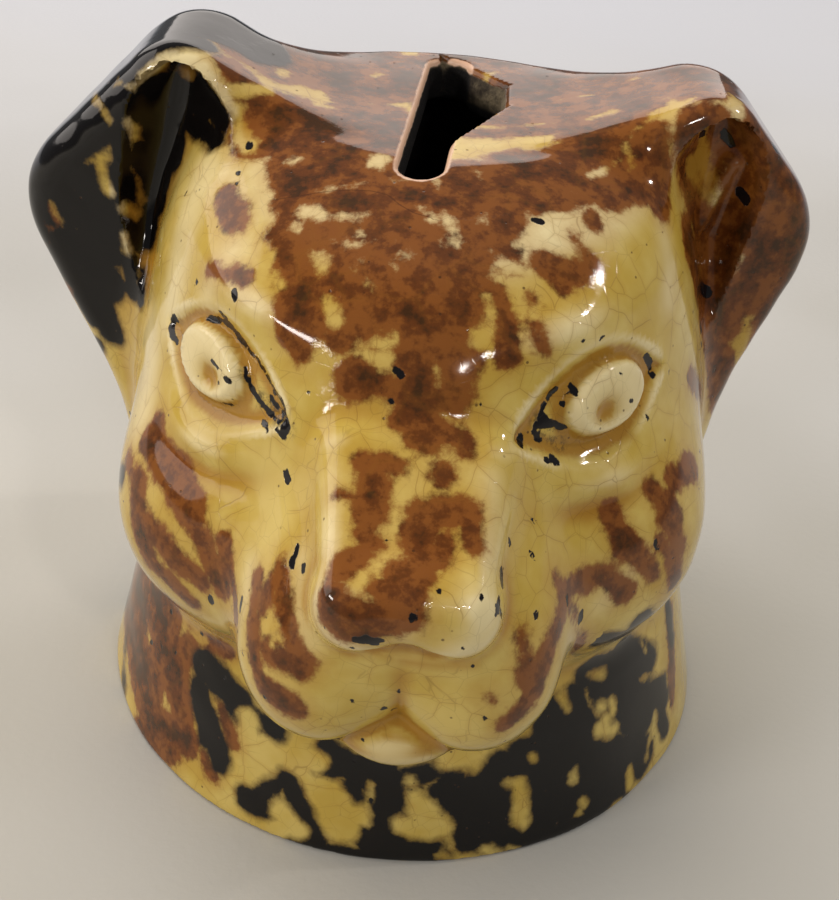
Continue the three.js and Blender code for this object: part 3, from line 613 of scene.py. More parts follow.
# %% Brown dabs, with the places where the yellow shows through them
BROWN = strokes_from_photo([
    (282, 140, 300, 152, 19), (325, 152, 395, 166, 20), (226, 198, 236, 222, 15), (290, 206, 470, 204, 19),
    (280, 236, 478, 236, 19), (290, 264, 478, 262, 18), (292, 292, 478, 290, 18), (296, 316, 470, 312, 18),
    (290, 336, 300, 348, 12), (330, 330, 372, 322, 13), (418, 340, 420, 430, 19), (452, 335, 456, 398, 20),
    (464, 425, 464, 452, 6), (415, 440, 428, 440, 12), (346, 388, 362, 390, 10), (380, 384, 402, 394, 12),
    (404, 330, 410, 380, 10), (470, 196, 520, 186, 20), (520, 186, 600, 168, 17), (580, 140, 640, 110, 24),
    (500, 232, 508, 262, 14), (500, 205, 565, 200, 12), (545, 262, 570, 272, 15), (532, 300, 540, 330, 8),
    (504, 300, 506, 358, 10), (592, 214, 594, 226, 8), (560, 285, 565, 290, 7), (470, 240, 476, 300, 14),
    (610, 190, 640, 180, 12), (232, 66, 246, 88, 16), (250, 60, 300, 66, 10), (208, 272, 246, 278, 5),
    (650, 140, 660, 200, 18), (365, 462, 398, 466, 12), (372, 478, 368, 516, 17), (340, 492, 352, 496, 6),
    (360, 530, 368, 540, 12), (344, 562, 358, 556, 14), (338, 574, 346, 572, 9), (443, 474, 444, 474, 10),
    (424, 516, 468, 512, 15), (466, 515, 474, 548, 11), (422, 528, 424, 560, 15), (446, 540, 440, 560, 12),
    (398, 574, 424, 578, 15), (380, 592, 415, 596, 15), (332, 612, 412, 616, 17), (330, 596, 338, 622, 14),
    (350, 634, 392, 632, 8), (262, 604, 284, 562, 9), (282, 572, 292, 640, 12), (258, 580, 256, 660, 8),
    (272, 654, 300, 664, 14), (264, 686, 288, 704, 15), (222, 538, 236, 618, 9), (606, 574, 562, 592, 13),
    (566, 594, 548, 648, 11), (547, 655, 530, 702, 12), (518, 714, 506, 724, 10), (520, 636, 528, 676, 9),
    (490, 696, 491, 702, 6), (614, 518, 626, 548, 15), (610, 578, 628, 592, 10), (674, 478, 692, 470, 13),
    (664, 520, 680, 545, 12), (650, 566, 654, 574, 10), (158, 430, 164, 455, 13), (176, 470, 196, 505, 15),
    (196, 520, 222, 590, 14), (136, 480, 150, 560, 16), (150, 560, 190, 600, 12), (128, 462, 134, 476, 9),
    (130, 610, 134, 640, 24), (134, 640, 138, 670, 25), (140, 670, 146, 700, 25), (146, 700, 156, 730, 24),
    (160, 610, 162, 640, 20), (164, 640, 168, 670, 20), (170, 670, 176, 700, 20), (176, 700, 184, 730, 18),
    (612, 520, 640, 560, 13), (650, 490, 676, 520, 11), (662, 540, 676, 580, 10), (556, 580, 576, 650, 9),
    (480, 120, 580, 112, 15), (150, 440, 188, 508, 15), (150, 528, 200, 580, 14), (200, 540, 228, 590, 11),
    (668, 500, 676, 540, 11), (536, 206, 600, 196, 12), (600, 202, 642, 192, 10), (574, 238, 592, 262, 9),
    (552, 264, 580, 276, 8), (176, 650, 184, 722, 17), (140, 730, 172, 752, 13), (205, 640, 226, 648, 9),
    (170, 600, 186, 650, 14), (150, 716, 186, 736, 20), (160, 772, 176, 788, 7), (222, 704, 232, 742, 8),
    (205, 758, 212, 772, 9), (670, 610, 672, 700, 9), (700, 90, 780, 130, 22), (760, 130, 800, 220, 26),
    (740, 210, 770, 250, 26), (700, 130, 720, 260, 26), (690, 240, 720, 330, 26), (712, 330, 720, 395, 20),
    (740, 300, 770, 250, 22), (668, 90, 700, 80, 12), (655, 130, 690, 150, 14), (690, 380, 702, 400, 8),
    (290, 116, 296, 200, 24), (296, 210, 300, 320, 24), (336, 112, 340, 320, 25), (378, 132, 380, 318, 25),
    (420, 192, 420, 330, 25), (458, 176, 462, 310, 22), (500, 168, 508, 236, 20), (540, 176, 560, 200, 18),
    (440, 168, 560, 164, 13), (470, 132, 560, 128, 13), (490, 108, 600, 100, 16), (560, 90, 640, 84, 16),
    (236, 52, 400, 92, 17), (280, 62, 404, 66, 14), (300, 52, 420, 58, 8), (340, 100, 394, 112, 12),
    (404, 340, 470, 360, 14), (410, 396, 460, 400, 16), (350, 376, 384, 388, 11), (402, 420, 462, 440, 13),
    (500, 296, 506, 312, 9), (536, 322, 544, 344, 8), (286, 330, 300, 352, 11), (420, 60, 426, 110, 8),
])
BARE_OF_BROWN = strokes_from_photo([
    (376, 158, 382, 166, 8), (292, 160, 294, 162, 6), (258, 172, 268, 192, 8), (316, 214, 318, 216, 8),
    (318, 254, 324, 260, 8), (330, 306, 334, 322, 8), (366, 286, 370, 288, 6), (524, 240, 556, 226, 8),
    (376, 346, 396, 338, 6), (354, 360, 380, 356, 7), (425, 214, 430, 218, 6), (452, 232, 456, 244, 4),
    (268, 612, 272, 645, 5), (520, 150, 560, 142, 5), (690, 165, 712, 195, 11), (655, 112, 690, 100, 7),
    (534, 316, 546, 300, 4), (148, 632, 150, 640, 6), (184, 628, 204, 640, 7), (590, 176, 630, 154, 4),
    (296, 226, 300, 230, 5), (536, 700, 530, 708, 4), (275, 274, 270, 292, 6), (486, 330, 488, 420, 7),
    (262, 330, 268, 342, 6), (360, 232, 364, 236, 4), (404, 252, 408, 256, 5), (238, 92, 268, 88, 9),
    (236, 112, 248, 150, 12), (232, 164, 258, 184, 12), (258, 172, 268, 198, 9), (372, 164, 384, 158, 9),
    (288, 162, 298, 160, 6), (306, 210, 322, 214, 8), (420, 208, 428, 216, 5), (238, 242, 258, 250, 13),
    (312, 254, 322, 266, 9), (266, 276, 280, 286, 8), (326, 302, 334, 322, 9), (366, 280, 374, 290, 6),
    (400, 252, 410, 252, 4), (448, 216, 456, 238, 4), (502, 264, 518, 270, 10), (516, 246, 552, 230, 8),
    (486, 296, 490, 326, 5), (362, 348, 394, 342, 8), (516, 142, 546, 142, 4), (280, 76, 286, 72, 6),
    (374, 76, 382, 74, 6), (318, 104, 330, 108, 5), (590, 118, 610, 112, 5),
])
print("brown strokes:", len(BROWN), "gaps in them:", len(BARE_OF_BROWN))

# %% Black dabs and their yellow gaps
BLACK = strokes_from_photo([
    (60, 150, 120, 110, 22), (50, 200, 110, 190, 28), (70, 250, 120, 240, 24), (95, 300, 112, 330, 16),
    (100, 345, 106, 362, 8), (140, 60, 180, 40, 12), (182, 40, 204, 44, 13), (150, 92, 196, 96, 20),
    (196, 84, 222, 118, 16), (200, 125, 216, 140, 12), (140, 150, 160, 200, 13), (150, 210, 146, 240, 9),
    (128, 200, 132, 290, 10), (142, 270, 141, 300, 5), (112, 100, 124, 160, 12), (30, 180, 40, 230, 14),
    (118, 60, 130, 70, 12), (118, 445, 122, 476, 9), (116, 590, 118, 650, 7), (206, 668, 230, 696, 16),
    (208, 716, 220, 756, 14), (228, 700, 232, 712, 8), (244, 802, 256, 808, 10), (272, 715, 273, 790, 10),
    (258, 800, 282, 782, 8), (298, 806, 316, 840, 9), (330, 752, 366, 776, 14), (352, 742, 380, 752, 8),
    (340, 730, 344, 742, 8), (340, 852, 380, 862, 9), (400, 778, 440, 770, 13), (400, 850, 440, 858, 11),
    (455, 790, 475, 840, 17), (480, 780, 560, 770, 16), (480, 830, 560, 838, 15), (545, 740, 556, 830, 16),
    (570, 700, 600, 820, 18), (590, 670, 640, 660, 18), (620, 660, 640, 760, 19), (580, 730, 640, 760, 16),
    (560, 830, 620, 812, 13), (640, 620, 664, 700, 13), (520, 748, 540, 750, 12), (660, 690, 664, 730, 8),
    (640, 770, 650, 752, 9), (500, 856, 560, 850, 7), (600, 640, 630, 632, 12), (668, 606, 672, 640, 8),
    (470, 852, 480, 858, 7), (310, 846, 330, 852, 8), (150, 110, 170, 150, 22), (165, 130, 160, 180, 16),
    (185, 110, 200, 120, 18), (110, 600, 114, 690, 9), (500, 800, 560, 800, 30), (560, 720, 620, 780, 28),
    (606, 680, 640, 720, 26), (560, 730, 540, 800, 26), (450, 784, 500, 840, 15), (500, 764, 530, 760, 14),
    (640, 700, 660, 690, 16), (620, 650, 650, 660, 14), (206, 668, 240, 700, 17), (200, 690, 206, 740, 12),
    (210, 736, 218, 762, 13), (252, 716, 276, 730, 10), (268, 716, 280, 784, 8), (244, 796, 262, 808, 11),
    (60, 262, 108, 284, 20), (84, 300, 94, 318, 11), (286, 780, 316, 842, 9), (322, 762, 380, 768, 13),
    (352, 786, 356, 796, 7), (384, 770, 392, 850, 15), (360, 836, 384, 858, 9), (296, 846, 320, 842, 7),
    (66, 218, 118, 220, 15), (420, 770, 440, 775, 9), (440, 790, 470, 800, 12), (400, 850, 436, 846, 9),
])
BARE_OF_BLACK = strokes_from_photo([
    (162, 64, 188, 74, 8), (95, 92, 100, 104, 4), (104, 112, 110, 122, 3), (100, 160, 108, 190, 5),
    (52, 205, 58, 220, 4), (128, 122, 134, 130, 4), (126, 208, 136, 214, 6), (124, 236, 126, 250, 5),
    (410, 828, 438, 826, 14), (424, 810, 428, 812, 10), (519, 782, 520, 818, 8), (606, 720, 608, 732, 8),
    (600, 706, 604, 708, 6), (654, 722, 656, 756, 5), (630, 770, 630, 786, 6), (614, 804, 618, 812, 6),
    (588, 674, 602, 674, 5), (560, 694, 568, 710, 6), (574, 774, 576, 782, 4), (410, 782, 412, 784, 6),
    (370, 784, 372, 796, 5), (470, 764, 474, 766, 8), (440, 856, 500, 858, 5), (532, 756, 534, 760, 4),
    (640, 640, 646, 650, 4), (582, 800, 584, 806, 4), (248, 722, 250, 776, 14), (282, 812, 294, 828, 16),
    (296, 748, 316, 762, 15), (336, 800, 344, 828, 19), (372, 784, 373, 798, 4), (206, 780, 222, 800, 11),
    (180, 766, 196, 774, 9), (402, 826, 440, 828, 14), (446, 758, 474, 762, 11), (508, 782, 520, 784, 7),
    (521, 790, 525, 824, 6), (486, 850, 494, 856, 7), (612, 702, 613, 712, 5), (599, 730, 613, 730, 8),
    (629, 770, 630, 786, 5), (611, 809, 620, 801, 5), (654, 716, 646, 758, 5), (576, 768, 572, 780, 3),
    (592, 673, 602, 672, 5),
])
print("black strokes:", len(BLACK), "gaps in them:", len(BARE_OF_BLACK))

# %% Strokes that the photograph hides, in millimetres
HEAD_RADIUS = 38
HALF_TURN = math.pi
hidden = np.random.default_rng(21)


def round_head(height, angle):
    """A point on the head at a height, by its angle from the nose."""
    way = np.array([math.sin(angle), -math.cos(angle), 0])
    reach = np.linspace(0, 60, 241)  # quarter millimetres
    line = np.array([0, 0, height]) + way * reach[:, None]
    return line[np.argmax(field_at(glazed_field, line) > 0)]


def scattered(count, low, high, first, last, long, wide):
    rows = []
    for _ in range(count):
        height, angle = hidden.uniform(low, high), hidden.uniform(first, last)
        start = round_head(height, angle)
        end = round_head(height + hidden.uniform(-long, long), angle + hidden.uniform(-long, long) / HEAD_RADIUS)
        rows.append([*start, *end, hidden.uniform(*wide)])
    return rows


brown_behind = scattered(46, 24, 76, 0.5 * HALF_TURN, 1.5 * HALF_TURN, 8, (2.0, 4.6))
brown_poll = [[x, y, 77, x + dx, y + dy, 77, r] for x, y, dx, dy, r in (
    (-18, -8, 10, 2, 5), (-10, 6, 8, 5, 6), (8, 8, 10, 3, 5), (16, -4, 5, 8, 4), (-16, 12, 6, 4, 4),
    (0, 17, 9, 1, 4), (8, -14, 8, 3, 4), (-14, -16, 8, 2, 4), (18, 10, 3, 4, 3), (-20, 2, 2, 8, 4))]
black_behind = scattered(30, 2, 20, 0.46 * HALF_TURN, 1.54 * HALF_TURN, 7, (2.4, 4.6))
black_behind += scattered(5, 30, 70, 0.7 * HALF_TURN, 1.4 * HALF_TURN, 3, (0.7, 1.5))
yellow_behind = scattered(46, 3, 20, 0.46 * HALF_TURN, 1.54 * HALF_TURN, 4, (0.7, 2.2))
gaps_behind = scattered(34, 26, 74, 0.5 * HALF_TURN, 1.5 * HALF_TURN, 5, (0.8, 2.2))
collar_left = [[*round_head(height, first), *round_head(height, last), radius]
               for first, last, radius in ((-1.5, -1.2, 3.6), (-1.2, -0.95, 3.4)) for height in (9, 14, 19, 24)]
brown_sides = scattered(8, 28, 60, 0.82 * HALF_TURN, 1.1 * HALF_TURN, 5, (1.4, 3.0))
brown_sides += scattered(7, 28, 60, -1.1 * HALF_TURN, -0.88 * HALF_TURN, 5, (1.4, 3.0))
black_sides = scattered(14, 4, 20, 0.72 * HALF_TURN, 1.15 * HALF_TURN, 6, (2.6, 4.2))
brown_ear = [[40, 4, 72, 30, 10, 82, 9], [42, 4, 66, 38, 8, 48, 9]]
black_ear = [[-44, 4, 72, -30, 8, 84, 9], [-48, 4, 66, -45, 8, 54, 6],
             [-34, 12, 76, -38, 9, 60, 9], [-30, 8, 84, -22, 6, 82, 5]]
BROWN = np.vstack([BROWN, brown_sides, collar_left, brown_behind, brown_poll, brown_ear])
BLACK = np.vstack([BLACK, black_sides, black_behind, black_ear])
BARE_OF_BROWN = np.vstack([BARE_OF_BROWN, gaps_behind])
BARE_OF_BLACK = np.vstack([BARE_OF_BLACK, yellow_behind])
print("with the hidden sides:", len(BROWN), "brown and", len(BLACK), "black")

# %% [markdown]
# ## Specks, lid lines and the hairline
#
# Iron in the clay and in the black sponge left small black specks, strewn over the head and in dotted rows along
# the eyelids. A hairline crack in the glaze crosses the brow just below the poll. A line thinner than the mesh is
# kept as a signed distance across it, which the finish turns into a thin dark line.

# %% Specks
SPECKS = strokes_from_photo([
    (286, 473, 288, 480, 4.2), (298, 546, 293, 562, 2.8), (292, 560, 292, 566, 3.6), (304, 566, 303, 571, 2.8),
    (211, 598, 211, 602, 3.6), (242, 598, 240, 610, 2.6), (501, 571, 502, 584, 4.6), (499, 600, 497, 612, 4.2),
    (496, 606, 502, 616, 2.2), (536, 613, 536, 617, 3.0), (567, 597, 568, 603, 2.6), (581, 613, 580, 621, 4.0),
    (413, 616, 413, 619, 4.0), (520, 437, 520, 445, 4.0), (552, 458, 556, 462, 4.4), (546, 460, 548, 460, 3.0),
    (536, 268, 536, 268, 1.4), (541, 222, 535, 220, 3.6), (396, 370, 402, 376, 3.2), (249, 144, 250, 147, 3.4),
    (234, 292, 235, 298, 3.6), (196, 280, 197, 283, 2.0), (509, 540, 510, 545, 2.2), (530, 552, 534, 558, 2.0),
    (480, 592, 482, 600, 1.8), (437, 588, 440, 592, 1.8), (356, 640, 380, 641, 4.4), (366, 638, 376, 644, 3.6),
    (532, 520, 536, 522, 1.6), (388, 540, 390, 540, 1.5), (398, 690, 400, 692, 1.4), (316, 632, 318, 634, 1.4),
    (484, 717, 486, 720, 1.4), (352, 700, 354, 702, 1.3), (325, 628, 326, 630, 1.4), (463, 648, 464, 650, 1.2),
    (701, 134, 728, 140, 3.6), (724, 132, 732, 144, 3.4), (740, 192, 746, 200, 5), (774, 146, 777, 150, 4),
    (702, 288, 706, 292, 6), (700, 324, 701, 330, 3.4), (556, 425, 562, 428, 2.4), (562, 403, 562, 405, 2.6),
    (571, 386, 575, 393, 3.2), (553, 391, 556, 388, 2.8), (541, 416, 545, 418, 3.0), (540, 426, 556, 424, 2.6),
    (556, 425, 565, 427, 2.4), (646, 356, 650, 364, 3.2), (650, 372, 653, 376, 2.6), (646, 416, 648, 419, 1.8),
    (620, 374, 622, 375, 1.2), (600, 340, 604, 336, 1.2), (580, 344, 584, 340, 1.2), (212, 361, 214, 364, 2.4),
    (216, 366, 224, 376, 1.5), (226, 379, 229, 382, 3.0), (222, 403, 234, 404, 1.8), (172, 330, 173, 334, 2.2),
    (174, 324, 178, 322, 1.6),
])
LID_LINES = [
    [(206, 318), (222, 320), (236, 332), (246, 345), (258, 360), (266, 373), (275, 390), (284, 406), (288, 430)],
    [(220, 312), (232, 326), (244, 342), (254, 356)], [(174, 316), (170, 330), (178, 344)],
    [(244, 366), (246, 372), (250, 384), (258, 400), (266, 408), (272, 416), (282, 424), (287, 436)],
    [(270, 398), (278, 406), (284, 414), (288, 426)],
    [(262, 420), (268, 428), (266, 434)], [(276, 430), (282, 434), (286, 440)],
    [(556, 388), (548, 396), (542, 408), (538, 420), (534, 432)],
    [(532, 428), (534, 436), (540, 440)], [(540, 424), (550, 422), (560, 428)],
]
BEAD_PITCH = 4.4
beads = np.random.default_rng(5)


def beaded(line):
    line, rows = np.array(line, float), []
    for start, end in zip(line[:-1], line[1:]):
        count = max(1, int(np.hypot(*(end - start)) / BEAD_PITCH))
        for k in range(count):
            a = start + (end - start) * (k + beads.uniform(0.0, 0.3)) / count
            b = start + (end - start) * (k + beads.uniform(0.5, 1.0)) / count
            rows.append([*(a + beads.normal(size=2) * 0.6), *b, beads.uniform(1.5, 3.3)])
    return rows


SPECKS = np.vstack([SPECKS, strokes_from_photo([row for line in LID_LINES for row in beaded(line)])])
dust = [round_head(beads.uniform(8, 74), beads.uniform(-HALF_TURN, HALF_TURN)) for _ in range(120)]
dust = [[*a, *(a + beads.normal(size=3) * 0.15), beads.uniform(0.12, 0.3)] for a in dust]
SPECKS = np.vstack([SPECKS, dust])
HAIRLINE = clay_under([(275, 200), (300, 196), (330, 191), (352, 190), (372, 191), (388, 195),
                       (400, 205), (414, 213), (432, 218)])
print("specks:", len(SPECKS))


def across_line(points, line):
    """Signed distance across a line on the front of the head, above zero over the line."""
    best, gap = np.full(len(points), OUT_OF_REACH), np.full(len(points), OUT_OF_REACH)
    for start, end in zip(line[:-1], line[1:]):
        run = end - start
        t = np.clip((points - start) @ run / (run @ run), 0, 1)
        away = points - start - t[:, None] * run
        length = np.linalg.norm(away, axis=1)
        nearer = length < gap
        gap[nearer] = length[nearer]
        best[nearer] = (np.where(away[:, 2] > 0, 1, -1) * length)[nearer]
    return best


# %% [markdown]
# ## What the glaze does by itself
#
# Glaze runs thin over a raised edge, which shows cream, and lies thick in a hollow, which shows amber. Both follow
# the bend of the surface, and a signed distance gives that bend by its second differences. Where clay was broken
# or cut, the depth below the glazed skin tells bare clay from glaze.

# %% Strokes of thick glaze, of cream that is partly thin glaze and partly painted sheen, and of dark smudges by the eyes
POOLS = strokes_from_photo([(404, 662, 474, 664, 10), (474, 662, 498, 644, 7), (330, 652, 392, 658, 4),
                            (350, 745, 430, 748, 14), (385, 735, 420, 740, 8), (584, 448, 632, 436, 5)])
# Cream streaks: partly thin glaze from the sponge, partly painted sheen where soft reflections lie on the left
# temple, the muzzle, the nose and the right cheek.
CREAM_AND_SHEEN_STREAKS = strokes_from_photo([
    (206, 172, 172, 310, 26), (150, 330, 142, 420, 24), (232, 150, 224, 172, 12), (234, 250, 206, 300, 14),
    (300, 560, 306, 640, 9), (250, 570, 246, 600, 8), (492, 480, 496, 560, 10), (478, 600, 486, 620, 14),
    (606, 600, 640, 560, 10), (570, 640, 560, 680, 9), (660, 215, 668, 300, 9),
])
# Dark grainy smudges in the inner and outer corners of the eyes.
SMUDGES = strokes_from_photo([(258, 396, 288, 430, 9), (240, 372, 262, 400, 4), (536, 420, 560, 444, 9),
                              (176, 318, 182, 344, 5)])
print("pools:", len(POOLS), "cream streaks:", len(CREAM_AND_SHEEN_STREAKS), "smudges:", len(SMUDGES))

# %% Thin glaze, pools and the black of the collar
EYE_DEPTH = 9  # how far from the plane of the lids an eye's colours reach
CHIN = (-36.5, 21)
GAPS_WIDER = 0.2


def bend_at(points, reach):
    total = -6 * field_at(outer_field, points)
    for axis in range(3):
        step = np.zeros(3)
        step[axis] = reach
        total += field_at(outer_field, points + step) + field_at(outer_field, points - step)
    return total / reach**2


def black_cover(points):
    """The black of the collar, which doesn't reach chin and lips, in front of and above CHIN."""
    on_face = (points[:, 1] < CHIN[0]) & (points[:, 2] > CHIN[1])
    gaps = -GAPS_WIDER - cover(points, BARE_OF_BLACK)
    return np.where(on_face, -OUT_OF_REACH, np.minimum(cover(points, BLACK), gaps))


def eye_white(points):
    u, v, out = eye_places(*points.T)
    ring = 1 - ease(0.72, 1.05, eyeball(u, v))
    return ring * (1 - 0.85 * spot(u, v, PUPIL, (2.1, 1.7))) * (np.abs(out) < EYE_DEPTH)


def thin_glaze_and_sheen(points):
    """Where glaze runs thinly: over raised edges, on the eyeballs, and in cream streaks that are partly sponge
    marks and partly painted sheen.
    """
    streaks = 0.7 * ease(-2.5, 2.5, cover(points, CREAM_AND_SHEEN_STREAKS))
    return np.maximum(np.maximum(ease(0.16, 0.52, bend_at(points, 1.4)), 0.9 * eye_white(points)), streaks)


def pools(points):
    """Amber glaze that gathers under the nose, round the eyeballs and between the lips."""
    u, v, out = eye_places(*points.T)
    at_eye = np.abs(out) < EYE_DEPTH
    moat = bell(eyeball(u, v) - 1.18, 0.16) * ease(0.5, 3.5, -v + 0.25 * u) * at_eye
    iris = spot(u, v, PUPIL, (1.9, 1.5)) * at_eye
    placed = ease(-0.6, 1.6, cover(points, POOLS))
    return np.clip(0.65 * moat + 0.8 * iris + placed, 0, 1)


print("the tip of the nose bends by", bend_at(np.array([[0, -55.7, 50]]), 1.4).round(2), "a millimetre")

# %% Write the measures on each piece's points
MEASURES = {
    "brown": lambda p: np.minimum(cover(p, BROWN), -cover(p, BARE_OF_BROWN)),
    "black": black_cover,
    "speck": lambda p: cover(p, SPECKS),
    "smudge": lambda p: cover(p, SMUDGES),
    "hairline": lambda p: across_line(p, HAIRLINE),
    "thin_and_sheen": thin_glaze_and_sheen,
    "pool": lambda p: np.maximum(ease(0.02, -0.30, bend_at(p, 1.6)), pools(p)),
    "depth": lambda p: -field_at(glazed_field, p),
    "slot": lambda p: slot_field(p[:, 0], p[:, 1]),
}


def write_measures(piece):
    mesh = piece.data
    places = np.empty(len(mesh.vertices) * 3, np.float32)
    mesh.vertices.foreach_get("co", places)
    places = places.reshape(-1, 3) / MM
    for name, measure in MEASURES.items():
        layer = mesh.attributes.new(name, "FLOAT", "POINT")
        layer.data.foreach_set("value", np.asarray(measure(places), np.float32))
    return places


def shade_skin(piece, places):
    """Smooth normals from the field on the skin, flat ones where the piece was cut."""
    mesh = piece.data
    corner_point = np.empty(len(mesh.loops), np.int32)
    mesh.loops.foreach_get("vertex_index", corner_point)
    sizes, flats = np.empty(len(mesh.polygons), np.int32), np.empty(len(mesh.polygons) * 3, np.float32)
    mesh.polygons.foreach_get("loop_total", sizes)
    mesh.polygons.foreach_get("normal", flats)
    flats = np.repeat(flats.reshape(-1, 3), sizes, axis=0)
    smooth = slope_at(bank_field, places, 0.12)
    smooth /= np.maximum(np.linalg.norm(smooth, axis=1, keepdims=True), 1e-6)
    smooth = smooth[corner_point]
    agree = (smooth * flats).sum(1) > 0.6
    mesh.polygons.foreach_set("use_smooth", np.ones(len(mesh.polygons), bool))
    mesh.normals_split_custom_set(np.where(agree[:, None], smooth, flats))


for name, piece in pieces.items():
    places = write_measures(piece)
    shade_skin(piece, places)
    print(name, "measured on", len(places), "points")

# %% [markdown]
# ## Shader groups
#
# The finishes share a few effects: a net of crazing, a grainy edge that a sponge leaves, a mottled tone and a
# fine pitted surface. Each is a node group that gives out a mask, a colour or a height, and each finish places it
# with its own values. All lengths in the groups are millimetres on the object itself.

# %% Helpers for node groups
def paint(red, green, blue):
    """A colour as a painter reads it, 0 to 255, turned into the shader's linear light."""
    parts = [c / 255 for c in (red, green, blue)]
    return tuple(c / 12.92 if c <= 0.04045 else ((c + 0.055) / 1.055) ** 2.4 for c in parts) + (1.0,)


class Wires:
    """Adds nodes to a tree and joins them. A value may be a number, a colour or another node's socket."""

    def __init__(self, tree):
        self.tree = tree

    def add(self, kind, inputs=(), out=0, **settings):
        node = self.tree.nodes.new(kind)
        for key, value in settings.items():
            setattr(node, key, value)
        for key, value in dict(inputs).items():
            self.feed(node.inputs[key], value)
        return node.outputs[out]

    def feed(self, socket, value):
        if isinstance(value, bpy.types.NodeSocket):
            self.tree.links.new(value, socket)
        else:
            socket.default_value = value

    def math(self, operation, *values):
        return self.add("ShaderNodeMath", dict(enumerate(values)), operation=operation)

    def times(self, a, b):
        return self.math("MULTIPLY", a, b)

    def plus(self, a, b):
        return self.math("ADD", a, b)

    def less(self, a, b):
        return self.math("SUBTRACT", a, b)

    def step(self, value, low, high, to_low=0.0, to_high=1.0):
        ends = {0: value, 1: low, 2: high, 3: to_low, 4: to_high}
        return self.add("ShaderNodeMapRange", ends, interpolation_type="SMOOTHSTEP")

    def blend(self, amount, first, second):
        return self.add("ShaderNodeMix", {0: amount, 6: first, 7: second}, out=2, data_type="RGBA")

    def noise(self, place, size, detail=2.0, rough=0.5, shift=0.0):
        moved = self.add("ShaderNodeVectorMath", {0: place, 1: (shift, -shift, 2 * shift)}, operation="ADD")
        cloud = {"Vector": moved, "Scale": 1 / size, "Detail": detail, "Roughness": rough}
        return self.add("ShaderNodeTexNoise", cloud)

    def measure(self, name):
        return self.add("ShaderNodeAttribute", out="Fac", attribute_name=name)

    def place_mm(self):
        here = self.add("ShaderNodeTexCoord", out="Object")
        return self.add("ShaderNodeVectorMath", {0: here, "Scale": 1 / MM}, operation="SCALE")


def group(name, inputs, outputs):
    tree = bpy.data.node_groups.new(name, "ShaderNodeTree")
    for label, kind, value in inputs:
        socket = tree.interface.new_socket(label, in_out="INPUT", socket_type="NodeSocket" + kind)
        if value is not None:
            socket.default_value = value
    for label, kind in outputs:
        tree.interface.new_socket(label, in_out="OUTPUT", socket_type="NodeSocket" + kind)
    return tree, Wires(tree), tree.nodes.new("NodeGroupInput").outputs, tree.nodes.new("NodeGroupOutput").inputs


def place_group(wires, tree, inputs):
    node = wires.tree.nodes.new("ShaderNodeGroup")
    node.node_tree = tree
    for key, value in inputs.items():
        wires.feed(node.inputs[key], value)
    return node.outputs


print("a middle grey of 128 is", round(paint(128, 128, 128)[0], 3), "in linear light")

# %% Crazing: the net of fine cracks in a cooled glaze
crazing, w, given, gives = group(
    "crazing net",
    [("Place", "Vector", None), ("Cell", "Float", 5.0), ("Line", "Float", 0.08)],
    [("Crack", "Float"), ("Stain", "Float")],
)
drift = w.add("ShaderNodeTexNoise", {"Vector": given["Place"], "Scale": 0.16, "Detail": 2.0}, out="Color")
bent = w.add("ShaderNodeVectorMath", {0: drift, 1: (2.2, 2.2, 2.2), 2: given["Place"]}, operation="MULTIPLY_ADD")
density = w.math("DIVIDE", 1.0, given["Cell"])
web = {"Vector": bent, "Scale": density, "Randomness": 0.85}
edge = w.add("ShaderNodeTexVoronoi", web, feature="DISTANCE_TO_EDGE")
away = w.times(edge, given["Cell"])
strength = w.noise(given["Place"], 7.0, 1.0, shift=31.0)
crack = w.step(away, 0.0, given["Line"], 1.0, 0.0)
seen = w.step(strength, 0.36, 0.56)
w.feed(gives["Crack"], w.times(crack, seen))
bleed = w.step(away, 0.0, 0.42, 1.0, 0.0)
w.feed(gives["Stain"], w.times(bleed, w.times(seen, seen)))
print("crazing net:", len(crazing.nodes), "nodes")

# %% Sponge edge: turns a measured stroke into a grainy patch
sponging, w, given, gives = group(
    "sponge edge",
    [("Place", "Vector", None), ("Cover", "Float", 0.0), ("Ragged", "Float", 2.4), ("Grain", "Float", 1.0),
     ("Soft", "Float", 0.3)],
    [("Patch", "Float"), ("Inside", "Float")],
)
broad = w.less(w.noise(given["Place"], 4.6, 2.0, 0.5, 3.0), 0.5)
fine = w.less(w.noise(given["Place"], 0.9, 4.0, 0.68, 9.0), 0.5)
moved = w.math("MULTIPLY_ADD", broad, given["Ragged"], given["Cover"])
torn = w.math("MULTIPLY_ADD", fine, given["Grain"], moved)
below = w.times(given["Soft"], -1.0)
w.feed(gives["Patch"], w.step(torn, below, given["Soft"]))
w.feed(gives["Inside"], torn)
print("sponge edge:", len(sponging.nodes), "nodes")

# %% Mottle: three tones of one stain, as thick and thin glaze show them
WHITE = (1, 1, 1, 1)
mottle, w, given, gives = group(
    "mottled stain",
    [("Place", "Vector", None), ("Depth", "Float", 0.0), ("Thin", "Color", WHITE), ("Full", "Color", WHITE),
     ("Heavy", "Color", WHITE)],
    [("Color", "Color")],
)
cloud = w.noise(given["Place"], 3.4, 4.0, 0.62, 14.0)
dots = w.noise(given["Place"], 1.3, 3.0, 0.6, 5.0)
tone = w.plus(w.times(cloud, 1.2), w.times(dots, 0.8))
deeper = w.step(given["Depth"], 0.0, 3.2, -0.16, 0.1)
tone = w.plus(tone, deeper)
first = w.blend(w.step(tone, 0.78, 1.02), given["Thin"], given["Full"])
w.feed(gives["Color"], w.blend(w.step(tone, 1.0, 1.24), first, given["Heavy"]))
print("mottled stain:", len(mottle.nodes), "nodes")

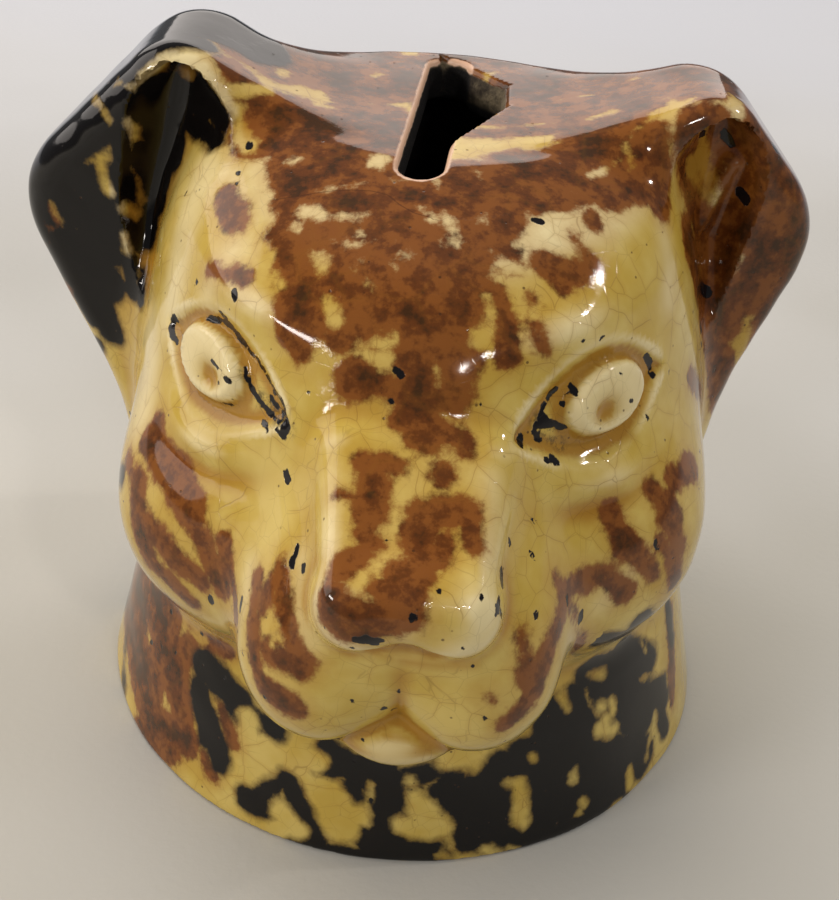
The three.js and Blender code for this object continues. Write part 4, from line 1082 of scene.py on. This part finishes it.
# %% Glaze skin: slow waves and pits of the fired surface, as a height in millimetres
glaze_skin, w, given, gives = group(
    "glaze skin", [("Place", "Vector", None), ("Wave", "Float", 0.012)], [("Height", "Float"), ("Pit", "Float")])
swell = w.noise(given["Place"], 3.1, 1.0, 0.4, 2.0)
ripple = w.noise(given["Place"], 0.9, 1.0, 0.5, 8.0)
total = w.plus(w.times(swell, 2.2), w.times(ripple, 0.35))
cells = w.add("ShaderNodeTexVoronoi", {"Vector": given["Place"], "Scale": 0.55}, out="Distance")
pick = w.noise(given["Place"], 2.4, 0.0, 0.5, 40.0)
pit = w.times(w.step(cells, 0.05, 0.11, 1.0, 0.0), w.step(pick, 0.5, 0.56))
w.feed(gives["Pit"], pit)
lifted = w.times(total, given["Wave"])
w.feed(gives["Height"], w.less(lifted, w.times(pit, 0.03)))
print("groups:", [tree.name for tree in bpy.data.node_groups])

# %% [markdown]
# ## The sponged glaze
#
# One finish serves all four glazed pieces, because the sponge ran over their joints. From below: yellow glaze that
# is cream where thin, with painted sheen in the cream streaks, and amber where thick, then brown stain, then
# black, then specks and crazing, and last the bare or worn clay of the slot, the chip and the foot, with painted
# shade deep in the slot and inside the hollow.

# %% Finish for the glazed clay
def new_finish(name):
    finish = bpy.data.materials.new(name)
    finish.use_nodes = True
    finish.node_tree.nodes.clear()
    wires = Wires(finish.node_tree)
    shader = finish.node_tree.nodes.new("ShaderNodeBsdfPrincipled")
    sheet = finish.node_tree.nodes.new("ShaderNodeOutputMaterial")
    finish.node_tree.links.new(shader.outputs[0], sheet.inputs[0])
    return finish, wires, shader


glaze, w, shader = new_finish("sponged glaze")
place = w.place_mm()
skin = place_group(w, glaze_skin, {"Place": place, "Wave": 0.012})
net = place_group(w, crazing, {"Place": place, "Cell": 4.0, "Line": 0.055})
aside = w.add("ShaderNodeVectorMath", {0: place, 1: (17.0, 5.0, 9.0)}, operation="ADD")
fine_net = place_group(w, crazing, {"Place": aside, "Cell": 2.2, "Line": 0.05})
brown = place_group(w, sponging, {"Place": place, "Cover": w.plus(w.measure("brown"), 0.3),
                                  "Ragged": 3.0, "Grain": 1.7, "Soft": 0.5})
black = place_group(w, sponging, {"Place": place, "Cover": w.plus(w.measure("black"), 0.05),
                                  "Ragged": 2.2, "Grain": 0.9, "Soft": 0.28})
speck_grain = w.times(w.less(w.noise(place, 0.5, 2.0, 0.5, 7.0), 0.5), 0.35)
speck = w.step(w.plus(w.measure("speck"), speck_grain), -0.14, -0.02)
print("placed groups:", [node.node_tree.name for node in glaze.node_tree.nodes if node.type == "GROUP"])

# %% The coat, from the yellow up to the specks
YELLOW_PALE, YELLOW_DEEP = paint(203, 178, 98), paint(188, 158, 68)
CREAM, AMBER = paint(232, 217, 172), paint(160, 112, 32)
BROWN_THIN, BROWN_FULL, BROWN_HEAVY = paint(122, 68, 25), paint(88, 41, 13), paint(50, 21, 9)
BLACK_GLAZE, BLACK_FRINGE = paint(12, 9, 8), paint(60, 34, 12)
CRACK_BROWN, PIT_BROWN, HAIRLINE_BROWN = paint(84, 52, 22), paint(60, 38, 20), paint(60, 36, 22)
SPECK_BLACK, DARK_SMUDGE = paint(20, 17, 18), paint(48, 40, 28)

yellow = w.blend(w.step(w.noise(place, 9.0, 3.0, 0.55), 0.35, 0.65), YELLOW_PALE, YELLOW_DEEP)
yellow = w.blend(w.times(w.measure("pool"), 0.85), yellow, AMBER)
# Cream where the glaze runs thin, and painted sheen in the cream streaks.
cream_and_sheen = w.times(w.measure("thin_and_sheen"), w.step(w.measure("pool"), 0.1, 0.8, 0.74, 0.1))
yellow = w.blend(cream_and_sheen, yellow, CREAM)
near_brown = w.step(brown["Inside"], -2.6, 0.2, 0.0, 0.34)
yellow = w.blend(near_brown, yellow, AMBER)
stain = place_group(w, mottle, {"Place": place, "Depth": brown["Inside"],
                                "Thin": BROWN_THIN, "Full": BROWN_FULL, "Heavy": BROWN_HEAVY})
coat = w.blend(w.times(brown["Patch"], 0.96), yellow, stain["Color"])
fringe = w.step(black["Inside"], -1.1, 0.1, 0.0, 0.75)
coat = w.blend(fringe, coat, BLACK_FRINGE)
coat = w.blend(black["Patch"], coat, BLACK_GLAZE)
cracks = w.math("MAXIMUM", w.times(net["Crack"], 0.34), w.times(fine_net["Crack"], 0.2))
open_yellow = w.less(1.0, w.times(brown["Patch"], 0.6))
cracks = w.times(cracks, w.times(open_yellow, w.less(1.0, black["Patch"])))
coat = w.blend(cracks, coat, CRACK_BROWN)
stained = w.times(net["Stain"], w.times(open_yellow, 0.14))
coat = w.blend(w.times(stained, w.less(1.0, black["Patch"])), coat, AMBER)
coat = w.blend(w.times(skin["Pit"], 0.7), coat, PIT_BROWN)
hairline = w.step(w.math("ABSOLUTE", w.measure("hairline")), 0.03, 0.12, 0.45, 0.0)
coat = w.blend(hairline, coat, HAIRLINE_BROWN)
# Dark grainy smudges in the corners of the eyes.
smudge_grain = w.step(w.noise(place, 0.8, 4.0, 0.7, 61.0), 0.42, 0.6)
smudge = w.times(w.step(w.measure("smudge"), -0.5, 0.7), w.times(smudge_grain, 0.75))
coat = w.blend(smudge, coat, DARK_SMUDGE)
coat = w.blend(speck, coat, SPECK_BLACK)
print("the coat takes", len(glaze.node_tree.nodes), "nodes")

# %% Worn rim, broken clay, and painted shade down the slot and inside the hollow
WORN_RIM, BROKEN_CLAY = paint(214, 174, 144), paint(108, 96, 74)
DIRT, PAINTED_SHADE_BLACK = paint(46, 38, 28), paint(14, 11, 9)

depth = w.measure("depth")
bite = w.times(w.less(w.noise(place, 1.6, 3.0), 0.5), 0.7)
rim_line = w.step(w.plus(w.measure("slot"), w.times(bite, 0.5)), 0.4, 0.7, 1.0, 0.0)
worn = w.times(rim_line, w.step(depth, -0.3, 0.0))
coat = w.blend(w.times(worn, 0.9), coat, WORN_RIM)
bare = w.step(w.plus(depth, bite), 0.5, 0.85)
clay = w.blend(w.step(w.noise(place, 2.4, 4.0, 0.65), 0.38, 0.66), BROKEN_CLAY, DIRT)
# Painted shade: the slot's walls turn near black from about a millimetre below the glaze, and so does all clay
# more than about 4 mm below it, inside the hollow and deep in the chip.
shaded_slot_wall = w.times(w.step(w.measure("slot"), 0.1, 0.5, 1.0, 0.0), w.step(depth, 0.5, 1.1))
clay = w.blend(w.math("MAXIMUM", shaded_slot_wall, w.step(depth, 3.4, 4.2)), clay, PAINTED_SHADE_BLACK)
coat = w.blend(bare, coat, clay)
print("with the bare clay:", len(glaze.node_tree.nodes), "nodes")

# %% Gloss and relief of the glaze
GLAZE_INDEX, GLAZE_SHINE = 1.5, 0.34
w.feed(shader.inputs["Base Color"], coat)
gloss = w.math("MULTIPLY_ADD", w.noise(place, 6.0, 3.0, 0.6, 50.0), 0.06, 0.05)
gloss = w.plus(gloss, w.times(worn, 0.25))
w.feed(shader.inputs["Roughness"], w.math("MAXIMUM", gloss, w.times(bare, 0.82)))
shader.inputs["IOR"].default_value = GLAZE_INDEX
shader.inputs["Specular IOR Level"].default_value = GLAZE_SHINE
layers = w.times(w.plus(brown["Patch"], black["Patch"]), 0.012)
sunk = w.times(w.plus(cracks, hairline), 0.014)
height = w.less(w.plus(skin["Height"], layers), sunk)
height = w.less(height, w.times(speck, 0.03))
rough_clay = w.times(bare, w.times(w.noise(place, 0.9, 5.0, 0.7), 0.35))
height = w.plus(height, rough_clay)
w.feed(shader.inputs["Normal"], w.add("ShaderNodeBump", {"Height": height, "Distance": MM, "Strength": 1.0}))
print("sponged glaze:", len(glaze.node_tree.nodes), "nodes")

# %% [markdown]
# ## Bare clay inside and under the bank
#
# The floor slab and the rolls pressed into the joints never met the glaze. Fired buff clay is matt, a little
# sandy, and grey with dust where hands never reach.

# %% Finish for the bare clay
BUFF_PALE, BUFF_DEEP = paint(206, 186, 146), paint(184, 160, 120)
GRIT, GREY_DUST = paint(120, 92, 62), paint(150, 136, 112)
paste, w, shader = new_finish("bare paste")
place = w.place_mm()
patch = w.step(w.noise(place, 11.0, 4.0, 0.6), 0.35, 0.68)
clay = w.blend(patch, BUFF_PALE, BUFF_DEEP)
grit = w.step(w.noise(place, 0.7, 3.0, 0.7, 3.0), 0.62, 0.74, 0.0, 0.5)
clay = w.blend(grit, clay, GRIT)
wiped = w.step(w.noise(place, 5.0, 2.0, 0.5, 20.0), 0.55, 0.75, 0.0, 0.3)
w.feed(shader.inputs["Base Color"], w.blend(wiped, clay, GREY_DUST))
w.feed(shader.inputs["Roughness"], w.step(w.noise(place, 3.0), 0.3, 0.7, 0.72, 0.9))
sand = w.times(w.noise(place, 0.6, 4.0, 0.7), 0.12)
w.feed(shader.inputs["Normal"], w.add("ShaderNodeBump", {"Height": sand, "Distance": MM}))
print("bare paste:", len(paste.node_tree.nodes), "nodes")

# %% [markdown]
# ## The floor of the bank
#
# The slab that closes the foot was cut from rolled clay and wiped with a wet finger round its edge. It is built as
# rings of points, so that its under side can dish very slightly, and its edge is rounded.

# %% Floor slab
SLAB_RADIUS, SLAB_HEIGHT, SLAB_EDGE = 35.0, 4.5, 0.8
SIDES = 160


def floor_slab():
    profile = [(0.0, 0.12), (10, 0.11), (20, 0.08), (28, 0.03), (33, 0.0), (SLAB_RADIUS - SLAB_EDGE, 0.0),
               (SLAB_RADIUS - 0.25, 0.2), (SLAB_RADIUS, SLAB_EDGE), (SLAB_RADIUS, SLAB_HEIGHT - 0.3),
               (SLAB_RADIUS - 0.3, SLAB_HEIGHT), (20, SLAB_HEIGHT), (0.0, SLAB_HEIGHT)]
    vertices, faces = [], []
    for radius, height in profile[1:-1]:
        for k in range(SIDES):
            angle = 2 * math.pi * k / SIDES
            vertices.append((radius * math.cos(angle) * MM, radius * math.sin(angle) * MM, height * MM))
    vertices += [(0, 0, height * MM) for _, height in (profile[0], profile[-1])]
    rings = len(profile) - 2
    for k in range(SIDES):
        n = (k + 1) % SIDES
        faces.append((rings * SIDES, n, k))
        faces.append((rings * SIDES + 1, (rings - 1) * SIDES + k, (rings - 1) * SIDES + n))
        for ring in range(rings - 1):
            a = ring * SIDES
            faces.append((a + k, a + n, a + SIDES + n, a + SIDES + k))
    mesh = bpy.data.meshes.new("floor_disc")
    mesh.from_pydata(vertices, [], faces)
    mesh.shade_smooth()
    slab = bpy.data.objects.new("floor_disc", mesh)
    scene.collection.objects.link(slab)
    return slab


pieces["floor_disc"] = floor_slab()
print("floor disc:", len(pieces["floor_disc"].data.polygons), "faces")

# %% Finishes and places of all the pieces
STANDS_FOR = {
    "face_half": ("face_shell", glaze, "sponged_glaze"),
    "back_half": ("back_shell", glaze, "sponged_glaze"),
    "ear_left": ("left_ear", glaze, "black_sponged_glaze"),
    "ear_right": ("right_ear", glaze, "brown_sponged_glaze"),
    "floor_disc": ("floor_slab", paste, "bare_paste"),
}
for name, (node, finish, slot_name) in STANDS_FOR.items():
    pieces[name].data.materials.clear()
    pieces[name].data.materials.append(finish)
    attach(pieces[name], "root")
    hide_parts(node)
for node in ("floor_roll", "seam_roll_left", "seam_roll_right"):
    for place_in_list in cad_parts[node].material_slots:
        place_in_list.material = paste
print("pieces:", sorted(pieces))

# %% [markdown]
# ## Table, lights and background
#
# The bank stands on pale cloth in a bright room. A broad window behind it lays the grey sheen over the poll, and a
# second one stands to the left. Soft light from high above is kept out of the reflections. A long lamp on the left
# draws the highlight down the cheek, and small lamps right and front set the bright points on brow and nose.

# %% Pale cloth, painted lighter and cooler towards the back
CLOTH_WARM, CLOTH_PALE, CLOTH_FAR_LIGHT = paint(174, 171, 160), paint(188, 186, 178), paint(193, 195, 200)
cloth, w, shader = new_finish("pale cloth")
place = w.place_mm()
tone = w.blend(w.step(w.noise(place, 90.0, 2.0), 0.3, 0.7), CLOTH_WARM, CLOTH_PALE)
# Painted light: the cloth turns lighter and cooler away from the bank, where the room's light falls on it, and
# stays warmer and darker near it.
deep = w.add("ShaderNodeSeparateXYZ", {0: place}, out="Y")
far = w.step(w.plus(deep, w.times(w.noise(place, 160.0, 2.0, 0.5, 77.0), 160.0)), 60.0, 460.0)
tone = w.blend(far, tone, CLOTH_FAR_LIGHT)
w.feed(shader.inputs["Base Color"], tone)
shader.inputs["Roughness"].default_value = 0.9
weave = w.times(w.noise(place, 1.2, 2.0), 0.05)
w.feed(shader.inputs["Normal"], w.add("ShaderNodeBump", {"Height": weave, "Distance": MM}))
bpy.ops.mesh.primitive_circle_add(vertices=96, radius=3.0, fill_type="NGON", location=(0, 0, 0))
table = bpy.context.active_object
table.name = "table_cloth"
table.data.materials.append(cloth)
print("pale cloth:", len(cloth.node_tree.nodes), "nodes")

# %% Lights
MIDDLE = Vector((0, 0, 0.045))
DAYLIGHT = (1.0, 0.92, 0.86)


def window(name, azimuth, elevation, distance, width, height, power, seen=True):
    """A flat light, placed by its angles round and above the bank. Angles are degrees, lengths metres."""
    light = bpy.data.lights.new(name, "AREA")
    light.shape, light.size, light.size_y = "RECTANGLE", width, height
    light.energy, light.color = power, DAYLIGHT
    lamp = bpy.data.objects.new(name, light)
    a, e = math.radians(azimuth), math.radians(elevation)
    way = Vector((math.sin(a) * math.cos(e), -math.cos(a) * math.cos(e), math.sin(e)))
    lamp.location = MIDDLE + way * distance
    lamp.rotation_mode = "QUATERNION"
    lamp.rotation_quaternion = way.to_track_quat("Z", "Y")
    lamp.visible_glossy = seen
    scene.collection.objects.link(lamp)


window("window_behind", -168, 22, 1.1, 1.3, 0.46, 3.0)
window("window_left", -98, 24, 1.1, 0.9, 0.6, 3.6)
window("skylight", -150, 66, 1.1, 1.0, 1.0, 8.4, seen=False)
window("lamp_left", -59, 20, 0.9, 0.26, 0.08, 2.2)
window("lamp_right", 104, 36, 0.9, 0.04, 0.05, 1.0)
window("lamp_front", 28, 38, 0.9, 0.05, 0.06, 1.0)

ROOM_WHITE, WALL_GREY = paint(236, 238, 242), paint(212, 212, 215)
world = bpy.data.worlds.new("room")
scene.world = world
world.use_nodes = True
w = Wires(world.node_tree)
world.node_tree.nodes.clear()
rays = world.node_tree.nodes.new("ShaderNodeLightPath").outputs
room = w.add("ShaderNodeBackground", {"Color": ROOM_WHITE, "Strength": 0.44})
dim = w.add("ShaderNodeBackground", {"Color": ROOM_WHITE, "Strength": 0.2})
wall = w.add("ShaderNodeBackground", {"Color": WALL_GREY, "Strength": 1.0})
both = w.add("ShaderNodeMixShader", {0: rays["Is Glossy Ray"], 1: room, 2: dim})
both = w.add("ShaderNodeMixShader", {0: rays["Is Camera Ray"], 1: both, 2: wall})
sheet = world.node_tree.nodes.new("ShaderNodeOutputWorld")
world.node_tree.links.new(both, sheet.inputs["Surface"])
